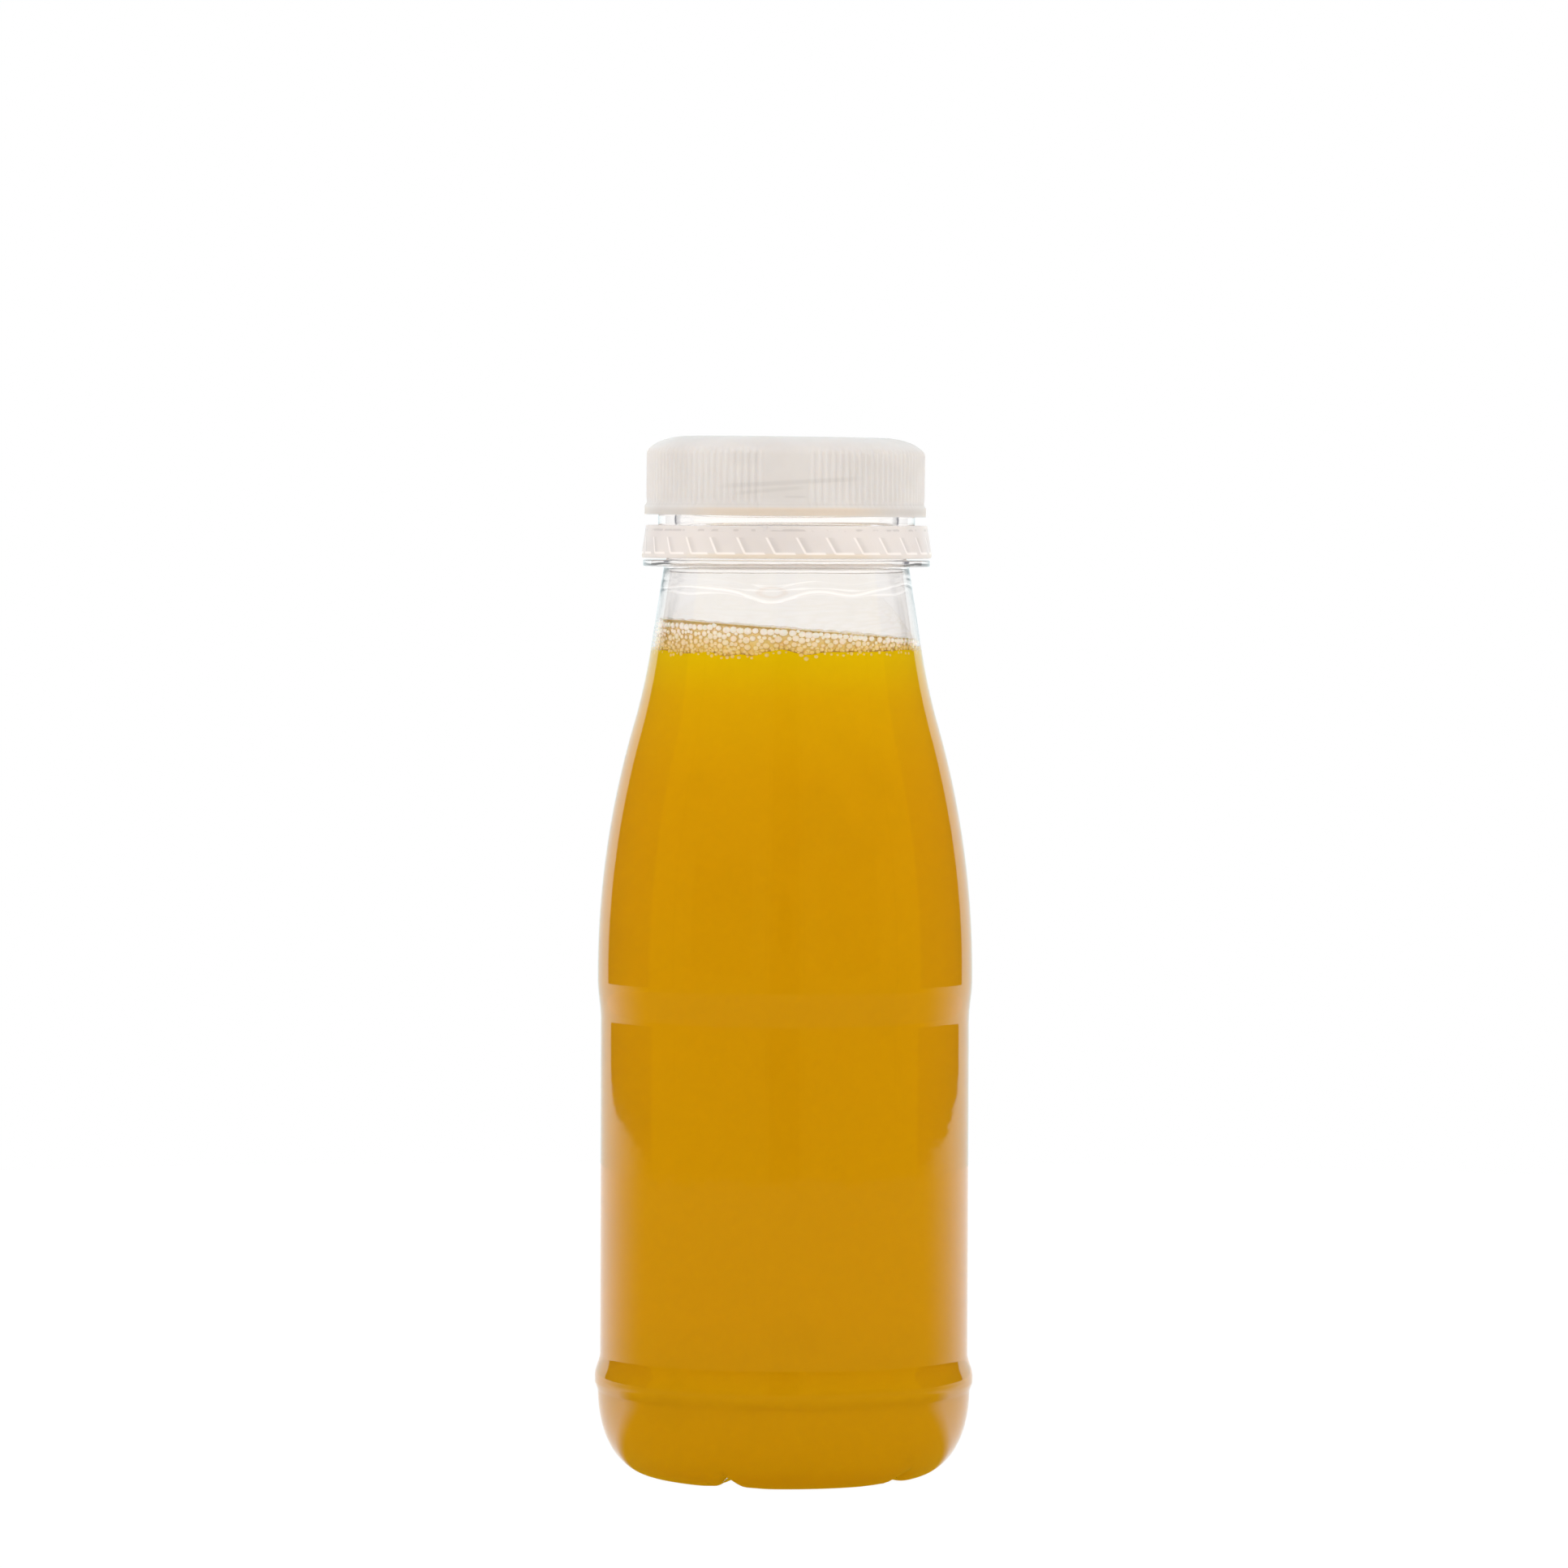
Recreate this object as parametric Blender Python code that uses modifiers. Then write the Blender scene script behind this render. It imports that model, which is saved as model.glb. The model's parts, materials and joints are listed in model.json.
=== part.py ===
"""Clear plastic juice bottle with its screw cap, the broken-off tamper ring, orange juice and froth.

Each piece is one closed solid. Lengths are in metres and +Z is up. The bottle's axis is the Z axis and
its feet stand on Z = 0. An azimuth is in degrees round the axis from the front (-Y), positive to +X.
"""

import math
import random

import bmesh
import bpy
from mathutils import Vector

COLLECTION = "juice_bottle"
BOTTLE_STEPS = 50
CAP_STEPS = 40
MERGE = 1e-5

# Clearance that two pieces which touch in the real object keep here
GAP = 0.0003

# Body of the bottle, from the neck down
WALL = 0.0005
CONE_TOP = 0.1327
CONE_BOTTOM = 0.1219
CONE_SLOPE = 0.157
SWEEP_BOTTOM = 0.1106
SHOULDER_RADIUS = 0.02762
SHOULDER_HEIGHT = 0.0741
SHOULDER_CURVE = 0.1316
BODY_RADIUS = 0.02715
WAIST_TOP = 0.0732
WAIST_BOTTOM = 0.0682
RIB_TOP = 0.0180
RIB_RADIUS = 0.02792
RIB_CREST_TOP = 0.0147
RIB_CREST_BOTTOM = 0.0138
HEEL_RADIUS = 0.0275
HEEL_TOP = 0.0126
HEEL_HEIGHT = 0.0136
HEEL_POWER = 2.3

# Five feet round a push-up with a small gate mark. The valley between two feet is wide and shallow,
# with a sharp crease along its middle that runs further out
FEET = 5
FOOT_OUTER_RADIUS = 0.0182
FOOT_INNER_RADIUS = 0.0166
FIRST_VALLEY = -21.7
VALLEY_HALF_WIDTH = 0.0060
VALLEY_DEPTH = 0.0013
VALLEY_END_RADIUS = 0.0218
CREASE_HALF_WIDTH = 0.0018
CREASE_DEPTH = 0.0017
CREASE_END_RADIUS = 0.0250
VALLEY_FADE = 0.0040
VALLEY_START_RADIUS = 0.0070
VALLEY_BUNCHING = 6.5
PUSH_UP_HEIGHT = 0.0042
GATE_RADIUS = 0.0018
GATE_HEIGHT = 0.0007

# Neck finish: lip, three-start thread, bead and support ring
LIP_HEIGHT = 0.1513
BORE_RADIUS = 0.0163
THREAD_ROOT_RADIUS = 0.0172
BEAD_RADIUS = 0.0189
BEAD_TOP = 0.1413
BEAD_BOTTOM = 0.1398
UNDERCUT_RADIUS = 0.0177
SUPPORT_RADIUS = 0.0211
SUPPORT_TOP = 0.1350
SUPPORT_BOTTOM = 0.1341
THICK_NECK_BOTTOM = 0.1290

THREAD_STARTS = 3
THREAD_LEAD = 0.0094
THREAD_SWEEP = 136.0
THREAD_BITE = 0.0003
NECK_THREAD_CREST = 0.0184
NECK_THREAD_BOTTOM = 0.1437
NECK_THREAD_AZIMUTH = -70.0
CAP_THREAD_CREST = 0.0179
THREAD_ROOT_HALF_WIDTH = 0.00050
THREAD_CREST_HALF_WIDTH = 0.00028
THREAD_STEPS = 12

# Screw cap, measured in its own frame with its lower edge at Z = 0
CAP_BOTTOM = 0.1415
CAP_SHIFT = -0.0002
CAP_TILT = 0.5
CAP_HEIGHT = 0.0116
CAP_RADIUS = 0.0203
CAP_INNER_RADIUS = 0.0193
CAP_CORNER_WIDTH = 0.0062
CAP_CORNER_HEIGHT = 0.0027
CAP_TOP_THICKNESS = 0.0012
FLANGE_RADIUS = 0.0207
FLANGE_HEIGHT = 0.0017
PLUG_OUTER_RADIUS = 0.0158
PLUG_INNER_RADIUS = 0.0150
PLUG_DEPTH = 0.0022
GRIP_PITCH = 3.0
GRIP_RISE = 0.00024
GRIP_WIDTH = 0.00055
GRIP_BOTTOM = 0.0018
GRIP_TOP = 0.0088
PLAIN_PANELS = 3
PLAIN_PANEL_HALF_ANGLE = 8.0

# Tamper ring, loose on the support ring
RING_BOTTOM = SUPPORT_TOP + GAP
RING_TOP = 0.1401
RING_TOP_RADIUS = 0.0207
RING_WIDE_RADIUS = 0.02136
RING_WIDE_HEIGHT = 0.1358
RING_WALL = 0.0008
FLAPS = 30
FLAP_AZIMUTH = 9.6
FLAP_SLANT = 3.6
FLAP_SPAN = 7.6
FLAP_BOTTOM = 0.1359
FLAP_TOP = 0.1384
FLAP_THICKNESS = 0.0004
FLAP_TIP_RADIUS = 0.0189

# Juice up to its level, and the froth on it, thicker to the left
JUICE_LEVEL = 0.1216
FROTH_BOTTOM = JUICE_LEVEL + GAP
FROTH_MIDDLE = 0.1253
FROTH_SLOPE = 0.075
FROTH_RINGS = (0.25, 0.48, 0.68, 0.86, 1.0)
FROTH_STEPS = 48
FROTH_BUMP = 0.00022
FROTH_SEED = 7


def smooth(t):
    """An even S-curve from 0 to 1."""
    t = min(max(t, 0.0), 1.0)
    return t * t * (3.0 - 2.0 * t)


def around(radius, azimuth, height):
    """The point at this radius, azimuth and height."""
    angle = math.radians(azimuth)
    return Vector((radius * math.sin(angle), -radius * math.cos(angle), height))


def cone_outline():
    """Top and bottom of the neck's cone, worked up from the sweep below it."""
    drop = CONE_BOTTOM - SWEEP_BOTTOM
    radius, slope = shoulder_point(SWEEP_BOTTOM)
    bottom = radius - 0.5 * (slope + CONE_SLOPE) * drop
    top = bottom - CONE_SLOPE * (CONE_TOP - CONE_BOTTOM)
    return [(top, CONE_TOP), (bottom, CONE_BOTTOM)]


def shoulder_point(height):
    """Radius of the shoulder's arc at this height, and how fast it widens downwards."""
    rise = height - SHOULDER_HEIGHT
    reach = math.sqrt(SHOULDER_CURVE**2 - rise**2)
    return SHOULDER_RADIUS - SHOULDER_CURVE + reach, rise / reach


def sweep_outline(steps):
    """The hollow sweep between cone and shoulder, a parabola that matches both slopes."""
    start, drop = cone_outline()[-1][0], CONE_BOTTOM - SWEEP_BOTTOM
    bend = (shoulder_point(SWEEP_BOTTOM)[1] - CONE_SLOPE) / (2.0 * drop)
    falls = [drop * i / steps for i in range(1, steps + 1)]
    return [(start + CONE_SLOPE * f + bend * f * f, CONE_BOTTOM - f) for f in falls]


def shoulder_outline(steps):
    """The round shoulder, from the sweep's end to just above the waist."""
    span = SWEEP_BOTTOM - WAIST_TOP
    heights = [SWEEP_BOTTOM - span * i / steps for i in range(1, steps + 1)]
    return [(shoulder_point(z)[0], z) for z in heights]


def waist_outline(steps):
    """The soft step in from the shoulder to the straight body."""
    top = shoulder_point(WAIST_TOP)[0]
    parts = [i / steps for i in range(1, steps + 1)]
    return [
        (top - (top - BODY_RADIUS) * smooth(t), WAIST_TOP - (WAIST_TOP - WAIST_BOTTOM) * t)
        for t in parts
    ]


def heel_outline(steps):
    """The heel, a quarter of a superellipse down to the edge of the feet."""
    width = HEEL_RADIUS - FOOT_OUTER_RADIUS
    first = math.asin((1.0 - HEEL_TOP / HEEL_HEIGHT) ** (HEEL_POWER / 2.0))
    angles = [first + (0.5 * math.pi - first) * i / steps for i in range(steps + 1)]
    power = 2.0 / HEEL_POWER
    return [
        (
            FOOT_OUTER_RADIUS + width * max(math.cos(a), 0.0) ** power,
            HEEL_HEIGHT * (1.0 - math.sin(a) ** power),
        )
        for a in angles
    ]


def push_up_outline(steps):
    """The push-up inside the feet, from their inner edge to the rim of the gate mark."""
    outer = FOOT_INNER_RADIUS
    radii = [outer + (GATE_RADIUS - outer) * i / steps for i in range(1, steps + 1)]
    return [(r, PUSH_UP_HEIGHT * smooth((outer - r) / (outer - GATE_RADIUS))) for r in radii]


def body_outline(shoulder_steps, waist_steps, heel_steps, push_up_steps):
    """Outline of the body, from the cone's top to the rim of the gate mark under the base."""
    return [
        *cone_outline(),
        *sweep_outline(2),
        *shoulder_outline(shoulder_steps),
        *waist_outline(waist_steps),
        (BODY_RADIUS, RIB_TOP),
        (RIB_RADIUS, RIB_CREST_TOP),
        (RIB_RADIUS, RIB_CREST_BOTTOM),
        *heel_outline(heel_steps),
        (FOOT_INNER_RADIUS, 0.0),
        *push_up_outline(push_up_steps),
    ]


def outer_outline():
    """The finer outline of the bottle's outside, closed by the gate mark."""
    gate = PUSH_UP_HEIGHT - GATE_HEIGHT
    return [*body_outline(5, 4, 7, 3), (GATE_RADIUS * 0.8, gate), (0.0, gate)]


def lining_outline(depth):
    """The coarser outline at this depth inside the bottle's outside, closed on the axis."""
    return inset([*body_outline(3, 1, 5, 2), (0.0, PUSH_UP_HEIGHT)], depth)


def inset(outline, depth):
    """The outline moved inwards by depth, with mitred corners. It runs down the outer side."""
    moved = []
    for i, (radius, height) in enumerate(outline):
        here = Vector((radius, height))
        before = (here - Vector(outline[i - 1])).normalized() if i else None
        after = (Vector(outline[i + 1]) - here).normalized() if i + 1 < len(outline) else None
        before, after = before or after, after or before
        way = (before + after).normalized()
        push = depth / max(way.dot(after), 0.5)
        moved.append((max(radius + way.y * push, 0.0), height - way.x * push))
    return [(0.0 if i + 1 == len(outline) else r, z) for i, (r, z) in enumerate(moved)]


def below(outline, level):
    """The part of an outline that lies under a level, with a point added on the level."""
    for i, (radius, height) in enumerate(outline):
        if height < level:
            r0, z0 = outline[i - 1]
            share = (z0 - level) / (z0 - height)
            return [(r0 + (radius - r0) * share, level), *outline[i:]]
    return outline


def neck_outline():
    """Outer outline of the neck finish, from the edge of the bore to the cone."""
    neck = cone_outline()[0][0]
    return [
        (BORE_RADIUS, LIP_HEIGHT),
        (THREAD_ROOT_RADIUS - 0.0002, LIP_HEIGHT),
        (THREAD_ROOT_RADIUS, LIP_HEIGHT - 0.0003),
        (THREAD_ROOT_RADIUS, BEAD_TOP + 0.0003),
        (BEAD_RADIUS, BEAD_TOP - 0.0003),
        (BEAD_RADIUS, BEAD_BOTTOM + 0.0004),
        (UNDERCUT_RADIUS, BEAD_BOTTOM),
        (UNDERCUT_RADIUS, SUPPORT_TOP),
        (SUPPORT_RADIUS - 0.0002, SUPPORT_TOP),
        (SUPPORT_RADIUS, SUPPORT_TOP - 0.0003),
        (SUPPORT_RADIUS, SUPPORT_BOTTOM + 0.0002),
        (SUPPORT_RADIUS - 0.0003, SUPPORT_BOTTOM),
        (neck + 0.0004, SUPPORT_BOTTOM - 0.0002),
        (neck, SUPPORT_BOTTOM - 0.0006),
    ]


def inner_outline():
    """Inner outline of the bottle, from the centre of the base up to the bore."""
    body = below(lining_outline(WALL), THICK_NECK_BOTTOM)
    return [*reversed(body), (BORE_RADIUS, CONE_TOP - 0.0005)]


def new_object(name, mesh, collection):
    """A new object with this mesh, in this collection."""
    piece = bpy.data.objects.new(name, mesh)
    collection.objects.link(piece)
    return piece


def profile_object(name, outline, collection, closed=False):
    """An object whose mesh is a chain of edges in the XZ plane."""
    mesh = bpy.data.meshes.new(name)
    count = len(outline)
    edges = [(i, (i + 1) % count) for i in range(count if closed else count - 1)]
    mesh.from_pydata([(radius, 0.0, height) for radius, height in outline], edges, [])
    return new_object(name, mesh, collection)


def add_screw(piece, steps, sweep=360.0, rise=0.0):
    """Turns a profile about the Z axis."""
    screw = piece.modifiers.new("Turn", "SCREW")
    screw.axis = "Z"
    screw.angle = math.radians(sweep)
    screw.screw_offset = rise
    screw.steps = screw.render_steps = steps
    screw.use_merge_vertices = sweep == 360.0
    screw.merge_threshold = MERGE
    screw.use_smooth_shade = True
    return screw


def settle(piece):
    """Applies an object's modifiers, so that its vertices can be moved."""
    graph = bpy.context.evaluated_depsgraph_get()
    mesh = bpy.data.meshes.new_from_object(piece.evaluated_get(graph))
    piece.modifiers.clear()
    old, piece.data = piece.data, mesh
    bpy.data.meshes.remove(old)
    mesh.name = piece.name


def shade(piece, angle=35.0):
    """Smooth shading that keeps the sharp edges."""
    piece.data.shade_smooth()
    piece.data.set_sharp_from_angle(angle=math.radians(angle))


def close_ends(mesh):
    """Fills the two open ends of a swept profile and points its faces out."""
    work = bmesh.new()
    work.from_mesh(mesh)
    bmesh.ops.holes_fill(work, edges=[e for e in work.edges if e.is_boundary], sides=0)
    bmesh.ops.recalc_face_normals(work, faces=work.faces)
    work.to_mesh(mesh)
    work.free()


def join_solids(piece, extras):
    """Joins a collection of solids to a piece by one union, and removes them."""
    union = piece.modifiers.new("Join", "BOOLEAN")
    union.operation = "UNION"
    union.operand_type = "COLLECTION"
    union.collection = extras
    union.solver = "EXACT"
    settle(piece)
    for extra in list(extras.objects):
        bpy.data.objects.remove(extra)
    bpy.data.collections.remove(extras)


def extras_collection(name, parent):
    """A collection for solids that are about to be joined to a piece."""
    extras = bpy.data.collections.new(name)
    parent.children.link(extras)
    return extras


def add_thread(name, root, crest, bottom, azimuth, collection):
    """One thread ridge: a trapezoid swept up a helix, its ends closed."""
    outline = [
        (root, bottom + THREAD_ROOT_HALF_WIDTH),
        (crest, bottom + THREAD_CREST_HALF_WIDTH),
        (crest, bottom - THREAD_CREST_HALF_WIDTH),
        (root, bottom - THREAD_ROOT_HALF_WIDTH),
    ]
    ridge = profile_object(name, outline, collection, closed=True)
    add_screw(ridge, THREAD_STEPS, THREAD_SWEEP, THREAD_LEAD * THREAD_SWEEP / 360.0)
    settle(ridge)
    close_ends(ridge.data)
    ridge.rotation_euler.z = math.radians(azimuth - 90.0)


def valley_rise(radius, from_valley, grow):
    """How far the base rises at a point, for the valley and the crease that it is nearest to."""
    arc = abs(math.radians(from_valley)) * radius
    valley = max(1.0 - arc / (VALLEY_HALF_WIDTH + grow), 0.0) ** 2
    crease = max(1.0 - arc / (CREASE_HALF_WIDTH + grow), 0.0)
    reach = radius - 2.0 * grow
    valley *= (VALLEY_DEPTH + grow) * smooth((VALLEY_END_RADIUS - reach) / VALLEY_FADE)
    crease *= CREASE_DEPTH * smooth((CREASE_END_RADIUS - reach) / VALLEY_FADE)
    return (valley + crease) * smooth((radius - VALLEY_START_RADIUS) / VALLEY_START_RADIUS)


def shape_feet(mesh, grow=0.0):
    """Raises the valleys between the feet, all grown by a clearance, with facets bunched there."""
    pitch = 360.0 / FEET
    nearest = 360.0 / BOTTLE_STEPS * round(FIRST_VALLEY * BOTTLE_STEPS / 360.0)
    for vertex in mesh.vertices:
        x, y, z = vertex.co
        radius = math.hypot(x, y)
        if z > HEEL_TOP or radius < MERGE:
            continue
        azimuth = math.degrees(math.atan2(x, -y))
        blend = smooth((HEEL_TOP - z) / (0.6 * HEEL_TOP))
        bunch = VALLEY_BUNCHING * math.sin(math.radians(FEET * (azimuth - nearest)))
        azimuth += blend * (FIRST_VALLEY - nearest - bunch)
        from_valley = (azimuth - FIRST_VALLEY + pitch / 2.0) % pitch - pitch / 2.0
        vertex.co = around(radius, azimuth, z + valley_rise(radius, from_valley, grow))


def make_bottle(collection):
    """The blown bottle, a thin shell open at its mouth, with the moulded neck finish."""
    outline = [*inner_outline(), *neck_outline(), *outer_outline()]
    bottle = profile_object("bottle", outline, collection)
    add_screw(bottle, BOTTLE_STEPS)
    settle(bottle)
    shape_feet(bottle.data)
    threads = extras_collection("neck_threads", collection)
    for i in range(THREAD_STARTS):
        azimuth = NECK_THREAD_AZIMUTH + i * 360.0 / THREAD_STARTS
        root = THREAD_ROOT_RADIUS - THREAD_BITE
        add_thread(f"neck_thread_{i}", root, NECK_THREAD_CREST, NECK_THREAD_BOTTOM, azimuth, threads)
    join_solids(bottle, threads)
    shade(bottle)
    return bottle


def cap_outline():
    """Outline of the cap from the middle of its top, down its skirt and back inside."""
    corner_z = CAP_HEIGHT - CAP_CORNER_HEIGHT
    ceiling = CAP_HEIGHT - CAP_TOP_THICKNESS
    corner = [
        (
            CAP_RADIUS - CAP_CORNER_WIDTH * (1.0 - math.sin(a)),
            corner_z + CAP_CORNER_HEIGHT * math.cos(a),
        )
        for a in (math.radians(angle) for angle in (0.0, 25.0, 47.0, 68.0, 90.0))
    ]
    return [
        (0.0, CAP_HEIGHT),
        *corner,
        (CAP_RADIUS, FLANGE_HEIGHT),
        (FLANGE_RADIUS, FLANGE_HEIGHT - 0.0006),
        (FLANGE_RADIUS, 0.0),
        (CAP_INNER_RADIUS + 0.0003, 0.0),
        (CAP_INNER_RADIUS, 0.0004),
        (CAP_INNER_RADIUS, ceiling - 0.0016),
        (CAP_INNER_RADIUS - 0.0016, ceiling),
        (PLUG_OUTER_RADIUS, ceiling),
        (PLUG_OUTER_RADIUS, ceiling - PLUG_DEPTH + 0.0006),
        (PLUG_OUTER_RADIUS - 0.0004, ceiling - PLUG_DEPTH),
        (PLUG_INNER_RADIUS, ceiling - PLUG_DEPTH),
        (PLUG_INNER_RADIUS, ceiling),
        (0.0, ceiling),
    ]


def add_grip_rib(name, azimuth, collection):
    """One upright grip rib, three-sided, its upper end sloping back into the cap's corner."""
    work = bmesh.new()
    bmesh.ops.create_cone(work, cap_ends=True, segments=3, radius1=1.0, radius2=1.0, depth=1.0)
    depth, height = 2.0 * GRIP_RISE, GRIP_TOP - GRIP_BOTTOM
    for vertex in work.verts:
        side, out, up = vertex.co
        lean = 0.35 if up > 0.0 and out > 0.5 else 0.0
        rise = (GRIP_BOTTOM + GRIP_TOP) / 2.0 + (up - lean * 0.5) * height
        radius = CAP_RADIUS - GRIP_RISE * 0.5 + depth * (out - 0.25) * (1.0 - 0.5 * lean)
        vertex.co = (side * GRIP_WIDTH / math.sqrt(3.0), -radius, rise)
    bmesh.ops.recalc_face_normals(work, faces=work.faces)
    bmesh.ops.triangulate(work, faces=work.faces)
    mesh = bpy.data.meshes.new(name)
    work.to_mesh(mesh)
    work.free()
    new_object(name, mesh, collection).rotation_euler.z = math.radians(azimuth)


def make_cap(collection):
    """The screw cap: grip ribs in three runs, a flange, a plug seal and an inner thread."""
    cap = profile_object("cap", cap_outline(), collection)
    add_screw(cap, CAP_STEPS)
    settle(cap)
    extras = extras_collection("cap_ribs_and_threads", collection)
    panel_pitch = 360.0 / PLAIN_PANELS
    for i in range(round(360.0 / GRIP_PITCH)):
        azimuth = GRIP_PITCH * (i + 0.5)
        from_panel = (azimuth + panel_pitch / 2.0) % panel_pitch - panel_pitch / 2.0
        if abs(from_panel) > PLAIN_PANEL_HALF_ANGLE:
            add_grip_rib(f"grip_rib_{i}", azimuth, extras)
    thread_pitch = THREAD_LEAD / THREAD_STARTS
    bottom = NECK_THREAD_BOTTOM - CAP_BOTTOM - thread_pitch / 2.0 + THREAD_LEAD * 60.0 / 360.0
    for i in range(THREAD_STARTS):
        azimuth = NECK_THREAD_AZIMUTH + 60.0 + i * 360.0 / THREAD_STARTS
        root = CAP_INNER_RADIUS + THREAD_BITE
        add_thread(f"cap_thread_{i}", root, CAP_THREAD_CREST, bottom, azimuth, extras)
    join_solids(cap, extras)
    shade(cap)
    cap.location = (CAP_SHIFT, 0.0, CAP_BOTTOM)
    cap.rotation_euler.y = math.radians(CAP_TILT)
    return cap


def ring_inner_radius(height):
    """Radius of the tamper ring's inner wall at this height."""
    share = (RING_TOP - height) / (RING_TOP - RING_WIDE_HEIGHT)
    return RING_TOP_RADIUS + (RING_WIDE_RADIUS - RING_TOP_RADIUS) * share - RING_WALL


def add_flap(name, azimuth, collection):
    """One folded-in flap: a slanted plate from the ring's inner wall up to its free edge."""
    work = bmesh.new()
    bmesh.ops.create_cube(work, size=2.0)
    bmesh.ops.triangulate(work, faces=work.faces)
    for vertex in work.verts:
        side, out, up = vertex.co
        share = 0.5 * (up + 1.0)
        height = FLAP_BOTTOM + (FLAP_TOP - FLAP_BOTTOM) * share
        foot = ring_inner_radius(FLAP_BOTTOM) + THREAD_BITE
        radius = foot + (FLAP_TIP_RADIUS - foot) * share + 0.5 * FLAP_THICKNESS * out
        angle = azimuth - FLAP_SLANT * (share - 0.5) + 0.5 * FLAP_SPAN * side
        vertex.co = around(radius, angle, height)
    bmesh.ops.recalc_face_normals(work, faces=work.faces)
    mesh = bpy.data.meshes.new(name)
    work.to_mesh(mesh)
    work.free()
    new_object(name, mesh, collection)


def make_tamper_ring(collection):
    """The band that broke off the cap, with a row of slanted flaps inside."""
    outline = [
        (ring_inner_radius(RING_TOP), RING_TOP),
        (RING_TOP_RADIUS - 0.0002, RING_TOP),
        (RING_TOP_RADIUS, RING_TOP - 0.0002),
        (RING_WIDE_RADIUS, RING_WIDE_HEIGHT),
        (RING_WIDE_RADIUS - 0.00015, RING_BOTTOM),
        (ring_inner_radius(RING_BOTTOM), RING_BOTTOM),
    ]
    ring = profile_object("tamper_ring", outline, collection, closed=True)
    add_screw(ring, CAP_STEPS)
    settle(ring)
    flaps = extras_collection("ring_flaps", collection)
    for i in range(FLAPS):
        add_flap(f"flap_{i}", FLAP_AZIMUTH + i * 360.0 / FLAPS, flaps)
    join_solids(ring, flaps)
    shade(ring)
    return ring


def make_juice(collection):
    """The juice up to its level, a solid that follows the inside of the bottle."""
    side = below(lining_outline(WALL + GAP), JUICE_LEVEL)
    juice = profile_object("juice", [(0.0, JUICE_LEVEL), *side], collection)
    add_screw(juice, BOTTLE_STEPS)
    settle(juice)
    shape_feet(juice.data, GAP)
    shade(juice)
    return juice


def froth_top(x):
    """Height of the froth's top, which slopes down to the right."""
    return FROTH_MIDDLE - FROTH_SLOPE * x


def make_froth(collection):
    """The layer of bubbles on the juice, bumpy on top and sloping down to the right."""
    wall = lining_outline(WALL + GAP)
    edge = below(wall, FROTH_BOTTOM)[0][0]
    taper = (edge - below(wall, FROTH_MIDDLE)[0][0]) / (FROTH_MIDDLE - FROTH_BOTTOM)
    rings = [(edge * share, FROTH_MIDDLE) for share in FROTH_RINGS]
    outline = [(0.0, FROTH_MIDDLE), *rings, (edge, FROTH_BOTTOM), (0.0, FROTH_BOTTOM)]
    froth = profile_object("foam", outline, collection)
    add_screw(froth, FROTH_STEPS)
    settle(froth)
    chance = random.Random(FROTH_SEED)
    for vertex in froth.data.vertices:
        x, y, z = vertex.co
        if z < FROTH_MIDDLE - MERGE:
            continue
        height = froth_top(x) + FROTH_BUMP * chance.uniform(-1.0, 1.0)
        radius = math.hypot(x, y)
        pull = taper * (height - FROTH_BOTTOM) / edge * (radius / edge) ** 4
        vertex.co = (x * (1.0 - pull), y * (1.0 - pull), height)
    shade(froth, 60.0)
    return froth


def add_material(piece, name, colour, roughness, transmission=0.0):
    """Gives a piece its own plain material."""
    material = bpy.data.materials.new(name)
    material.use_nodes = True
    shader = material.node_tree.nodes["Principled BSDF"]
    shader.inputs["Base Color"].default_value = (*colour, 1.0)
    shader.inputs["Metallic"].default_value = 0.0
    shader.inputs["Roughness"].default_value = roughness
    shader.inputs["Transmission Weight"].default_value = transmission
    piece.data.materials.clear()
    piece.data.materials.append(material)


def main():
    """Builds every piece in its collection."""
    for old in list(bpy.data.objects):
        bpy.data.objects.remove(old)
    collection = bpy.data.collections.new(COLLECTION)
    bpy.context.scene.collection.children.link(collection)
    add_material(make_bottle(collection), "clear_plastic", (0.93, 0.92, 0.91), 0.05, 0.9)
    add_material(make_cap(collection), "milky_cap_plastic", (0.75, 0.70, 0.65), 0.35)
    add_material(make_tamper_ring(collection), "milky_ring_plastic", (0.75, 0.71, 0.66), 0.35)
    add_material(make_juice(collection), "orange_juice", (0.63, 0.31, 0.0), 0.25)
    add_material(make_froth(collection), "juice_froth", (0.79, 0.62, 0.38), 0.4)


main()
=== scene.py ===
"""Visual model of a clear plastic juice bottle: shell, screw cap, broken-off tamper ring, juice and froth.

Lengths are in metres and +Z is up. The bottle's axis is the Z axis and its feet stand on Z = 0. An
azimuth is in degrees round the axis from the front (-Y), positive to +X. Where a finish or the studio
speaks of heights and radii, they are in millimetres.
"""

import json
import logging
import math
import random
from dataclasses import dataclass, field
from enum import Enum
from typing import Callable, Iterable, Optional, Union

import bmesh
import bpy
from mathutils import Euler, Matrix, Vector, noise

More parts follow.
